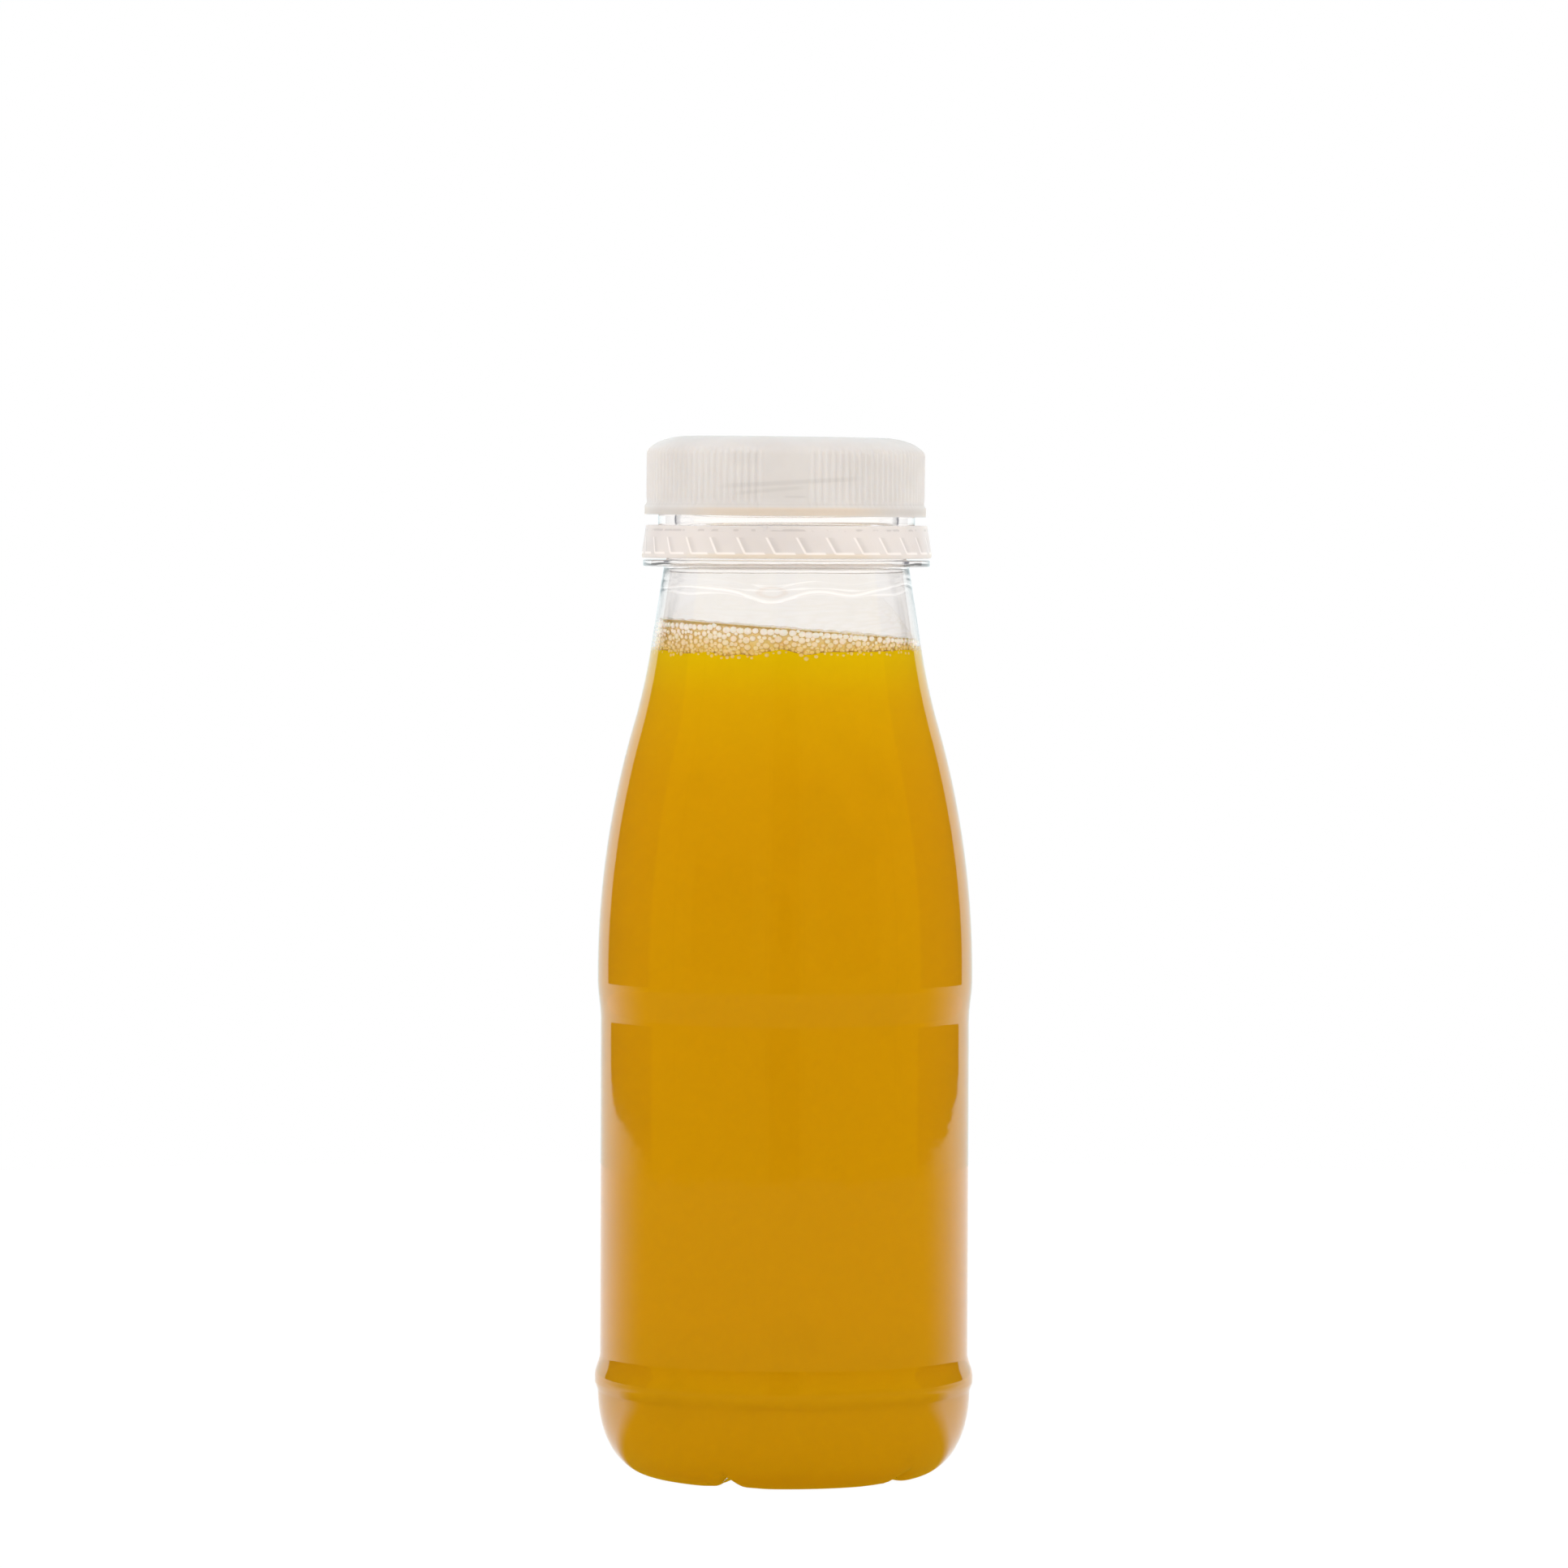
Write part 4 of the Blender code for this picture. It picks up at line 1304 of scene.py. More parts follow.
@dataclass
class ScrewCap:
    """The screw cap, built in its own frame and then tilted into place."""

    bottom: float = 0.1415
    shift: float = -0.0002
    tilt: float = 0.5
    height: float = 0.0116
    radius: float = 0.0203
    inner_radius: float = 0.0193
    corner_width: float = 0.0062
    corner_height: float = 0.0027
    top_thickness: float = 0.0012
    flange_radius: float = 0.0207
    flange_height: float = 0.0017
    plug_outer_radius: float = 0.0158
    plug_inner_radius: float = 0.0150
    plug_depth: float = 0.0022
    rib_pitch: float = 3.0
    rib_rise: float = 0.00019
    rib_half_width: float = 0.00036
    rib_bottom: float = 0.0017
    rib_top: float = 0.0104
    plain_panels: int = 3
    plain_half_angle: float = 8.0
    rib_fullness: float = 1.25
    rib_foot: float = 0.0002
    rib_head: float = 0.0012
    corner_turn: float = 7.5
    corner_rows: int = 12
    top_row: float = 0.003
    skirt_row: float = 0.0008
    skirt_gap: float = 0.0001
    wall_row: float = 0.00035
    wall_edge: float = 0.0004
    wall_chamfer: float = 0.0016
    mouth_chamfer: float = 0.0003
    flange_edge: float = 0.0004
    plug_chamfer: Point = (0.0004, 0.0006)
    skirt_depth: float = 0.0012
    steps: int = 720
    sharp: float = 50.0
    thread: Thread = field(default_factory=lambda: Thread(3, 0.0094, 136.0, 0.0022, -10.0))
    thread_rise: float = 0.0014

    def outline(self) -> Outline:
        """From the middle of the top, down the skirt and back inside.

        Returns:
            The outline of half the cap.
        """
        ceiling = self.height - self.top_thickness
        corner = [
            (
                self.radius - self.corner_width * (1.0 - math.sin(a)),
                self.height - self.corner_height * (1.0 - math.cos(a)),
            )
            for a in (math.radians(self.corner_turn * i) for i in range(self.corner_rows + 1))
        ]
        skirt = divided([corner[-1], (self.radius, self.flange_height + self.skirt_gap)], self.skirt_row)
        wall = divided(
            [(self.inner_radius, self.wall_edge), (self.inner_radius, ceiling - self.wall_chamfer)], self.wall_row
        )
        across, up = self.plug_chamfer
        return [
            *divided([(0.0, self.height), corner[0]], self.top_row)[:-1],
            *corner[:-1],
            *skirt,
            (self.flange_radius, self.flange_height - self.flange_edge),
            (self.flange_radius, 0.0),
            (self.inner_radius + self.mouth_chamfer, 0.0),
            *wall,
            (self.inner_radius - self.wall_chamfer, ceiling),
            (self.plug_outer_radius, ceiling),
            (self.plug_outer_radius, ceiling - self.plug_depth + up),
            (self.plug_outer_radius - across, ceiling - self.plug_depth),
            (self.plug_inner_radius, ceiling - self.plug_depth),
            (self.plug_inner_radius, ceiling),
            (0.0, ceiling),
        ]

    def rib_share(self, azimuth: float, height: float) -> float:
        """How much of a grip rib stands at a point of the skirt, from 0 to 1.

        Args:
            azimuth: The point's azimuth.
            height: The point's height above the cap's mouth.

        Returns:
            The share of the rib, which is 0 on the plain panels.
        """
        pitch = FULL_TURN / self.plain_panels
        rib = self.rib_pitch * (math.floor(azimuth / self.rib_pitch) + 0.5)
        if abs(turn_between(rib, 0.0, pitch)) < self.plain_half_angle:
            return 0.0
        arc = abs(math.radians(azimuth - rib)) * self.radius
        foot = smooth((height - self.rib_bottom) / self.rib_foot)
        head = smooth((self.rib_top - height) / self.rib_head)
        return smooth(self.rib_fullness - arc / self.rib_half_width) * foot * head

    def build(self) -> bpy.types.Object:
        """Builds the cap with its ribs and inner thread.

        Returns:
            The piece.
        """
        work = spun(self.outline(), self.steps)
        inner_top = self.height - self.top_thickness - self.wall_chamfer
        for vertex in work.verts:
            radius, height, azimuth = vertex.co.xy.length, vertex.co.z, azimuth_of(vertex.co)
            if radius < MERGE:
                continue
            if radius > self.radius - self.skirt_depth and height > self.flange_height:
                radius += self.rib_rise * self.rib_share(azimuth, height)
            elif abs(radius - self.inner_radius) < MERGE * 10.0 and height < inner_top:
                radius -= self.thread_rise * self.thread.share(azimuth, height)
            vertex.co = around(radius, azimuth, height)
        lean = Matrix.Rotation(math.radians(self.tilt), 4, "Y")
        place = Matrix.Translation((self.shift, 0.0, self.bottom)) @ lean
        bmesh.ops.transform(work, matrix=place, verts=work.verts)
        return finished("screw_cap", work, self.sharp)

    def dress(self, finish: MilkyPlastic) -> None:
        """Builds the cap and puts it in its node's place."""
        fit(self.build(), "cap", Slot.CAP, finish.material())


@dataclass
class TamperRing:
    """The band that broke off the cap, with slanted flaps inside and the stubs of its bridges on top."""

    bottom: float = 0.1353
    top: float = 0.1401
    top_radius: float = 0.0207
    wide_radius: float = 0.02136
    wide_height: float = 0.1358
    wall: float = 0.0008
    flaps: int = 30
    flap_azimuth: float = 9.6
    flap_slant: float = 3.6
    flap_span: float = 7.6
    flap_bottom: float = 0.1359
    flap_top: float = 0.1384
    flap_thickness: float = 0.0004
    flap_tip_radius: float = 0.0189
    flap_root: float = 0.0003
    stubs: int = 36
    stub_root: float = 0.0006
    stub_depth: float = 0.00018
    stub_half_thickness: float = 0.00026
    stub_wander: Span = (-0.2, 0.2)
    stub_width: Span = (1.2, 2.2)
    stub_rise: Span = (0.0005, 0.0009)
    foot_draft: float = 0.0001
    ring_edge: float = 0.00014
    steps: int = 360
    seed: int = 5

    def radius_at(self, height: float) -> float:
        """Radius of the band's outside at this height."""
        share = (self.top - height) / (self.top - self.wide_height)
        return self.top_radius + (self.wide_radius - self.top_radius) * share

    def add_block(self, work: bmesh.types.BMesh, place: Callable[[Vector], Vector]) -> None:
        """Adds a small block whose corners are each moved to their place.

        Args:
            work: The mesh work that grows.
            place: Gives the place of a point of a block that reaches from -1 to 1.
        """
        before = set(work.verts)
        made = bmesh.ops.create_cube(work, size=2.0)["verts"]
        edges = list({edge for vertex in made for edge in vertex.link_edges})
        bmesh.ops.subdivide_edges(work, edges=edges, cuts=2, use_grid_fill=True)
        for vertex in set(work.verts) - before:
            vertex.co = place(vertex.co.copy())

    def add_flap(self, work: bmesh.types.BMesh, azimuth: float) -> None:
        """Adds one folded-in flap, slanted from the band's inner wall up to its free edge.

        Args:
            work: The mesh work that grows.
            azimuth: The azimuth of the flap's middle.
        """

        def place(corner: Vector) -> Vector:
            """Bends a point of the block onto the flap.

            Args:
                corner: A point of a block that reaches from -1 to 1.

            Returns:
                Its place in the flap.
            """
            share = 0.5 * (corner.z + 1.0)
            height = self.flap_bottom + (self.flap_top - self.flap_bottom) * share
            foot = self.radius_at(self.flap_bottom) - self.wall + self.flap_root
            radius = foot + (self.flap_tip_radius - foot) * share + 0.5 * self.flap_thickness * corner.y
            angle = azimuth - self.flap_slant * (share - 0.5) + 0.5 * self.flap_span * corner.x
            return around(radius, angle, height)

        self.add_block(work, place)

    def add_stub(self, work: bmesh.types.BMesh, azimuth: float, width: float, rise: float) -> None:
        """Adds the torn stub of one bridge on the band's top edge.

        Args:
            work: The mesh work that grows.
            azimuth: The azimuth of the stub's middle.
            width: How wide it is, in degrees.
            rise: How tall it is with its root.
        """

        def place(corner: Vector) -> Vector:
            """Bends a point of the block onto the stub.

            Args:
                corner: A point of a block that reaches from -1 to 1.

            Returns:
                Its place in the stub.
            """
            height = self.top - self.stub_root + 0.5 * rise * (corner.z + 1.0)
            radius = self.radius_at(height) - self.stub_depth + self.stub_half_thickness * corner.y
            return around(radius, azimuth + 0.5 * width * corner.x, height)

        self.add_block(work, place)

    def build(self) -> bpy.types.Object:
        """Builds the band, its flaps and its stubs as one piece.

        Returns:
            The piece.
        """
        halfway = 0.5 * (self.top + self.wide_height)
        outline = [
            (self.radius_at(self.top) - self.wall, self.top),
            (self.top_radius, self.top),
            (self.radius_at(halfway), halfway),
            (self.wide_radius, self.wide_height),
            (self.wide_radius - self.foot_draft, self.bottom),
            (self.radius_at(self.bottom) - self.wall, self.bottom),
        ]
        work = spun(outline, self.steps, closed=True)
        round_rings(work, self.ring_edge)
        small = bmesh.new()
        chance = random.Random(self.seed)
        for i in range(self.flaps):
            self.add_flap(small, self.flap_azimuth + i * FULL_TURN / self.flaps)
        for i in range(self.stubs):
            azimuth = (i + chance.uniform(*self.stub_wander)) * FULL_TURN / self.stubs
            self.add_stub(small, azimuth, chance.uniform(*self.stub_width), chance.uniform(*self.stub_rise))
        bmesh.ops.recalc_face_normals(small, faces=small.faces)
        join_work(work, small)
        return finished("tamper_ring_band", work)

    def dress(self, finish: MilkyPlastic) -> None:
        """Builds the band and puts it in its node's place."""
        fit(self.build(), "tamper_ring", Slot.RING, finish.material())


@dataclass
class FillLine:
    """The uneven line round the wall where juice and froth meet."""

    level: float = 0.1218
    hollows: tuple[Swell, ...] = (
        (-26.0, 6.0, 0.0007),
        (-15.0, 4.0, 0.0006),
        (-48.0, 9.0, 0.0004),
        (9.0, 5.0, 0.0004),
        (-2.0, 4.0, -0.0004),
        (60.0, 10.0, -0.0002),
        (110.0, 12.0, 0.0005),
        (160.0, 8.0, 0.0007),
        (-100.0, 14.0, 0.0004),
        (-150.0, 9.0, -0.0003),
    )

    def at(self, azimuth: float) -> float:
        """Height of the line at an azimuth."""
        return self.level - swell_at(azimuth, self.hollows)


@dataclass
class Juice:
    """The juice, which reaches just into the wall so that no air gap shows."""

    shape: BottleShape
    line: FillLine
    depth: float = 0.0003
    grow: float = 0.0002
    top_shares: tuple[float, ...] = (0.0, 0.3, 0.55, 0.75, 0.88, 0.95)
    edge_power: int = 5
    sharp: float = 60.0

    def build(self) -> bpy.types.Object:
        """Builds the juice up to its uneven line.

        Returns:
            The piece.
        """
        side = below(self.shape.lining(self.depth), self.line.level)
        edge = side[0][0]
        top = [(edge * share, self.line.level) for share in self.top_shares]
        work = spun([*top, *side], self.shape.steps)
        self.shape.shape_feet(work, self.grow)
        for vertex in work.verts:
            if vertex.co.z > self.line.level - MERGE:
                share = (vertex.co.xy.length / edge) ** self.edge_power
                vertex.co.z += (self.line.at(azimuth_of(vertex.co)) - self.line.level) * share
        return finished("juice_fill", work, self.sharp)

    def dress(self, finish: OrangeJuice) -> None:
        """Builds the juice and puts it in its node's place."""
        fit(self.build(), "juice", Slot.JUICE, finish.material())


@dataclass
class Bubble:
    """One bubble of the froth.

    It faces along axis, where a painted highlight makes it palest. Its half sizes run along axis, sideways and
    upwards, and its wetness says how much juice it carries, from 0 to 1.
    """

    centre: Vector
    axis: Vector
    sizes: Vector
    wetness: float

    def add_to(self, work: bmesh.types.BMesh, marks: list[bmesh.types.BMLayerItem]) -> None:
        """Adds the bubble to mesh work as a ball of few faces, one pole to the front.

        Args:
            work: The mesh work that grows.
            marks: The work's layers for the rim and for the depth.
        """
        rim, depth = marks
        frame = self.axis.to_track_quat("X", "Z").to_matrix()
        lay = Matrix.Rotation(math.radians(90.0), 4, "Y")
        ball = bmesh.ops.create_uvsphere(work, u_segments=8, v_segments=6, radius=1.0, matrix=lay)
        for vertex in ball["verts"]:
            # The rim mark runs from the front pole, where the painted highlight sits, to the edge, where juice film
            # and painted shade darken it.
            vertex[rim] = min(max(1.0 - vertex.co.x, 0.0), 1.0)
            vertex[depth] = self.wetness
            vertex.co = self.centre + frame @ Vector(part * size for part, size in zip(vertex.co, self.sizes))


@dataclass
class Froth:
    """The layer of bubbles: a soft core, bubbles pressed on the wall and more on top.

    A span is the least and the greatest of a value that is drawn at random. An overlap says how near two
    bubbles may come, as a share of their sizes.
    """

    shape: BottleShape
    line: FillLine
    middle: float = 0.1253
    slope: float = 0.075
    back_slope: float = 0.022
    back_place: float = 0.018
    clearance: float = 0.00045
    core_steps: int = 120
    core_rows: int = 16
    core_row: float = 0.0002
    core_lip: float = 0.0001
    core_lift: float = 0.00015
    core_drop: float = 0.0003
    core_side: float = 0.8
    top_shares: tuple[float, ...] = (0.94, 0.8, 0.6, 0.35, 0.0)
    floor_shares: tuple[float, ...] = (0.0, 0.5, 0.85)
    crust: float = 0.00045
    inner_rim: float = 0.62
    azimuths: Span = (-180.0, 180.0)
    wall_tries: int = 14000
    first_share: float = 0.12
    first_place: Span = (0.86, 0.9)
    first_half: Span = (0.00046, 0.00068)
    first_wide: Span = (1.0, 1.22)
    wall_power: float = 0.9
    wall_half: Span = (0.00031, 0.00064)
    wall_growth: Span = (0.85, 0.25)
    wall_wide: Span = (1.0, 1.12)
    wall_flat: Span = (0.85, 1.0)
    wall_overlap: float = 0.79
    wall_squash: float = 1.1
    wall_sink: float = 0.55
    wall_thickness: float = 0.62
    foot_room: float = 0.4
    head_room: float = 0.8
    wet_reach: float = 0.85
    stray_tries: int = 900
    stray_half: Span = (0.00018, 0.0004)
    stray_top: float = 0.0003
    stray_drop: float = 0.001
    stray_power: int = 3
    stray_overlap: float = 0.95
    stray_sink: float = 0.00048
    stray_thickness: float = 0.0003
    stray_wide: Span = (1.0, 1.3)
    stray_wetness: float = 1.05
    top_tries: int = 6000
    top_margin: float = 0.0011
    top_half: Span = (0.0004, 0.001)
    top_overlap: float = 0.8
    top_sink: float = 0.0004
    top_thickness: float = 0.7
    top_wetness: float = 0.1
    batch: int = 40
    sharp: float = 180.0
    seed: int = 11

    def top_at(self, x: float, y: float) -> float:
        """Height of the froth's top at a place, lower to the right and to the back."""
        return self.middle - self.slope * x - self.back_slope * (y + self.back_place)

    def wall_radius(self, height: float) -> float:
        """Radius of the inner wall at this height, on the cone."""
        return self.shape.cone_radius(height) - self.shape.level_wall()

    def core(self) -> bmesh.types.BMesh:
        """The body of the froth behind the bubbles, smooth and a little inside the wall.

        Returns:
            The mesh work.
        """
        edge = self.wall_radius(self.line.level) - self.clearance
        rows = [(edge, self.line.level + self.core_lip + self.core_row * i) for i in range(self.core_rows)]
        low, high = rows[0][1], rows[-1][1]
        rows += [(edge + self.clearance, high), (edge + self.clearance, high + self.core_lip)]
        top = [(edge * share, high) for share in self.top_shares]
        floor = [(edge * share, low) for share in self.floor_shares]
        work = spun([*floor, *rows, *top], self.core_steps)
        for vertex in work.verts:
            share = (vertex.co.z - low) / (high - low)
            azimuth, radius = azimuth_of(vertex.co), vertex.co.xy.length
            line = self.line.at(azimuth) if radius > self.core_side * edge else self.line.level
            base = line + self.core_lift
            height = base + (self.top_at(vertex.co.x, vertex.co.y) - self.core_drop - base) * share
            pull = (self.wall_radius(height) - self.clearance) / edge
            vertex.co = around(radius * pull, azimuth, height)
        return work

    def mark_core(self, work: bmesh.types.BMesh) -> None:
        """Gives the core its colour marks, the seam's colour along the crust at the wall.

        Args:
            work: The core's mesh work.
        """
        for name in MARKS:
            work.verts.layers.float.new(name)
        rim, depth = (work.verts.layers.float[name] for name in MARKS)
        for vertex in work.verts:
            low, top = self.line.at(azimuth_of(vertex.co)), self.top_at(vertex.co.x, vertex.co.y)
            inner = vertex.co.xy.length < self.wall_radius(self.middle) - 3.0 * self.clearance
            vertex[rim] = 1.0 if vertex.co.z > top - self.crust and not inner else self.inner_rim
            vertex[depth] = 1.0 - smooth((vertex.co.z - low) / (top - low))

    def add_bubbles(self, work: bmesh.types.BMesh, bubbles: list[Bubble]) -> None:
        """Adds bubbles to the mesh work in small batches.

        Args:
            work: The mesh work that grows.
            bubbles: The bubbles.
        """
        for start in range(0, len(bubbles), self.batch):
            batch = bmesh.new()
            marks = [batch.verts.layers.float.new(name) for name in MARKS]
            for bubble in bubbles[start : start + self.batch]:
                bubble.add_to(batch, marks)
            join_work(work, batch)

    def wall_bubbles(self, chance: random.Random) -> list[Bubble]:
        """Throws bubbles against the wall, large ones along the top first, and keeps those with room.

        Args:
            chance: Where the random numbers come from.

        Returns:
            The bubbles that found room.
        """
        bubbles: list[Bubble] = []
        kept: list[tuple[float, float, float]] = []
        reach = self.wall_radius(self.line.level)
        whole = math.tau * reach
        for attempt in range(self.wall_tries):
            azimuth = chance.uniform(*self.azimuths)
            spot = around(reach, azimuth, 0.0)
            top, low = self.top_at(spot.x, spot.y), self.line.at(azimuth)
            first = attempt < self.wall_tries * self.first_share
            if first:
                share = chance.uniform(*self.first_place)
                half = chance.uniform(*self.first_half)
            else:
                share = chance.random() ** self.wall_power
                half = chance.uniform(*self.wall_half) * (self.wall_growth[0] + self.wall_growth[1] * share)
            foot, head = half * self.foot_room, half * self.head_room
            height = low + foot + (top - head - low - foot) * share
            arc = math.radians(azimuth) * reach
            if any(
                math.hypot(min(abs(arc - a), whole - abs(arc - a)), (height - h) * self.wall_squash)
                < (half + r) * self.wall_overlap
                for a, h, r in kept
            ):
                continue
            kept.append((arc, height, half))
            flat = chance.uniform(*self.wall_flat)
            wide = chance.uniform(*(self.first_wide if first else self.wall_wide))
            radius = self.wall_radius(height) - self.wall_sink * half
            wetness = 1.0 - smooth((height - low) / (self.wet_reach * (top - low)))
            sizes = Vector((self.wall_thickness * half, half * wide, half * flat))
            bubbles.append(Bubble(around(radius, azimuth, height), around(1.0, azimuth, 0.0), sizes, wetness))
        return bubbles

    def stray_bubbles(self, chance: random.Random) -> list[Bubble]:
        """Throws small flat bubbles on the juice just below the froth.

        Args:
            chance: Where the random numbers come from.

        Returns:
            The bubbles that found room.
        """
        bubbles: list[Bubble] = []
        kept: list[tuple[float, float, float]] = []
        for _ in range(self.stray_tries):
            azimuth, half = chance.uniform(*self.azimuths), chance.uniform(*self.stray_half)
            height = self.line.at(azimuth) + self.stray_top - self.stray_drop * chance.random() ** self.stray_power
            arc = math.radians(azimuth) * self.wall_radius(height)
            if any(math.hypot(arc - a, height - h) < (half + r) * self.stray_overlap for a, h, r in kept):
                continue
            kept.append((arc, height, half))
            spot = around(self.shape.cone_radius(height) - self.stray_sink, azimuth, height)
            sizes = Vector((self.stray_thickness, half * chance.uniform(*self.stray_wide), half))
            bubbles.append(Bubble(spot, around(1.0, azimuth, 0.0), sizes, self.stray_wetness))
        return bubbles

    def top_bubbles(self, chance: random.Random) -> list[Bubble]:
        """Throws bubbles on the froth's top and keeps those with room.

        Args:
            chance: Where the random numbers come from.

        Returns:
            The bubbles that found room.
        """
        bubbles: list[Bubble] = []
        kept: list[tuple[float, float, float]] = []
        for _ in range(self.top_tries):
            azimuth, share = chance.uniform(*self.azimuths), math.sqrt(chance.random())
            spot = around(share * (self.wall_radius(self.middle) - self.top_margin), azimuth, 0.0)
            half = chance.uniform(*self.top_half)
            if any(math.hypot(spot.x - x, spot.y - y) < (half + r) * self.top_overlap for x, y, r in kept):
                continue
            kept.append((spot.x, spot.y, half))
            spot.z = self.top_at(spot.x, spot.y) - self.top_sink
            sizes = Vector((self.top_thickness * half, half, half))
            bubbles.append(Bubble(spot, Vector((0.0, 0.0, 1.0)), sizes, self.top_wetness))
        return bubbles

    def build(self) -> bpy.types.Object:
        """Builds the core and every bubble as one piece.

        Returns:
            The piece.
        """
        work = self.core()
        self.mark_core(work)
        chance = random.Random(self.seed)
        bubbles = [*self.wall_bubbles(chance), *self.stray_bubbles(chance), *self.top_bubbles(chance)]
        LOG.info("froth has %d bubbles", len(bubbles))
        self.add_bubbles(work, bubbles)
        return finished("froth_bubbles", work, self.sharp)

    def dress(self, finish: JuiceFroth) -> None:
        """Builds the froth and puts it in its node's place."""
        fit(self.build(), "foam", Slot.FROTH, finish.material())


@dataclass
class Studio:
    """White floor and backdrop light, two soft front lights and the camera.

    Sides and rises of the studio are in degrees, a side being counted from the front either way. A span is
    where a soft edge starts and where it ends.
    """

    distance: float = 1.17
    camera_height: float = 0.144
    aim: tuple[float, float] = (-0.00025, 0.102)
    roll: float = 0.2
    frame_height: float = 0.2311
    sensor: float = 36.0
    clip: Span = (0.01, 100.0)
    floor_radius: float = 0.55
    floor_steps: int = 96
    floor_paint: Colour = (0.03, 0.03, 0.03)
    floor_glow: float = 0.99
    near_span: Span = (170.0, 70.0)
    near_floor: Colour = (0.50, 0.30, 0.0)
    near_dark: Span = (-8.0, 12.0)
    back_start: float = 140.5
    back_softness: float = 4.0
    back_edge: float = 1.0
    back: Colour = (0.84, 0.97, 1.0)
    dark_start: float = 92.0
    dark_edge: float = 1.5
    side_light: float = 0.03
    foot_start: float = -4.1
    foot_depth: float = 0.75
    through: Colour = (0.98, 0.97, 0.965)
    slit: Colour = (0.08, 0.08, 0.11)
    slit_side: float = 128.0
    slit_span: Span = (7.0, 4.0)
    slit_height: Span = (0.2, 0.1)
    soft_light: float = 1.94
    side_boost: float = 0.22
    boost_side: float = 92.0
    boost_span: Span = (45.0, 25.0)
    boost_height: Span = (0.8, 0.6)
    overhead_light: float = 1.1
    overhead_height: Span = (0.45, 0.75)
    front: Colour = (0.50, 0.36, 0.02)
    gap_half_angle: float = 9.5
    gap_edge: float = 1.5
    gap_top: Span = (34.0, 28.0)
    gap_dim: float = 0.55
    panel_start: float = 21.0
    panel_end: float = 60.0
    panel_top: float = 12.5
    panel_edge: float = 1.0
    panel_bottom: Span = (-3.0, -2.0)
    panel_dim: float = 0.3
    line_sides: Span = (11.6, 73.0)
    line_span: Span = (0.9, 0.3)
    line_bottom: Span = (-4.6, -4.2)
    line_dim: float = 0.35
    spot_side: float = 4.5
    spot_rise: float = 4.6
    spot_span: Span = (1.2, 0.8)
    spot_dim: float = 0.45
    ceiling_start: float = 42.0
    ceiling_fade: float = 12.0
    lamp_azimuth: float = 50.0
    lamp_height: float = 0.4
    lamp_size: float = 0.6
    lamp_power: float = 0.8
    lamp_aim: float = 0.08

    def set_camera(self) -> None:
        """Places a long lens level with the neck, aimed a little down."""
        data = bpy.data.cameras.new("camera")
        data.sensor_width = data.sensor_height = self.sensor
        place = Vector((self.aim[0], -self.distance, self.camera_height))
        way = Vector((self.aim[0], 0.0, self.aim[1])) - place
        data.lens = self.sensor / self.frame_height * way.length
        data.clip_start, data.clip_end = self.clip
        camera = bpy.data.objects.new("camera", data)
        camera.location = place
        turn = way.to_track_quat("-Z", "Y") @ Euler((0.0, 0.0, math.radians(self.roll))).to_quaternion()
        camera.rotation_euler = turn.to_euler()
        bpy.context.scene.collection.objects.link(camera)
        bpy.context.scene.camera = camera

    def set_floor(self, effects: SharedEffects) -> None:
        """Lays a round white floor that glows, so that it keeps hardly any shadow, and mirrors dimly in front.

        Args:
            effects: The shared node groups.
        """
        work = bmesh.new()
        bmesh.ops.create_circle(work, cap_ends=True, segments=self.floor_steps, radius=self.floor_radius)
        floor = finished("floor", work)
        material, bench, shader = new_material("white_floor")
        place = bench.group(effects.place)
        side = bench.sum("ABSOLUTE", place.outputs["Azimuth"])
        near = bench.span(place.outputs["Radius"], *self.near_span)
        start, end = (self.dark_start + shift for shift in self.near_dark)
        white = bench.product(near, bench.span(side, start, end))
        soft = bench.span(side, self.dark_start, self.back_start + self.back_softness)
        white = bench.sum("ADD", white, soft, clamp=True)
        mirrored = bench.mix(white, bench.mix(near, self.front, self.near_floor), WHITE)
        plain = bench.sum("MAXIMUM", self.plainly_seen(bench), self.passed_plastic(bench))
        bench.feed(shader, "Base Color", self.floor_paint)
        bench.feed(shader, "Roughness", 0.9)
        bench.feed(shader, "Specular IOR Level", 0.0)
        bench.feed(shader, "Emission Color", bench.mix(plain, mirrored, WHITE))
        bench.feed(shader, "Emission Strength", self.floor_glow)
        floor.data.materials.append(material)

    def plainly_seen(self, bench: Bench) -> bpy.types.NodeSocket:
        """1 for rays from the camera and rays that light a surface, 0 for mirrored and refracted ones.

        Args:
            bench: The bench of the floor or the world.

        Returns:
            The mask.
        """
        rays = bench.add("ShaderNodeLightPath")
        lit = bench.sum("GREATER_THAN", rays.outputs["Diffuse Depth"], 0.5)
        return bench.sum("MAXIMUM", lit, rays.outputs["Is Camera Ray"])

    def passed_plastic(self, bench: Bench) -> bpy.types.NodeSocket:
        """1 for rays that have gone through clear plastic at least once."""
        rays = bench.add("ShaderNodeLightPath")
        return bench.sum("GREATER_THAN", rays.outputs["Transmission Depth"], 0.5)

    def heading(self, bench: Bench) -> tuple[bpy.types.NodeSocket, bpy.types.NodeSocket]:
        """Where a ray of the world points.

        Args:
            bench: The world's bench.

        Returns:
            Its side in degrees and the height of its end, from -1 to 1.
        """
        way = bench.add("ShaderNodeTexCoord").outputs["Generated"]
        x, y, z = bench.add("ShaderNodeSeparateXYZ", {0: way}).outputs
        angle = bench.sum("ARCTAN2", x, bench.product(y, -1.0))
        return bench.sum("ABSOLUTE", bench.sum("DEGREES", angle)), z

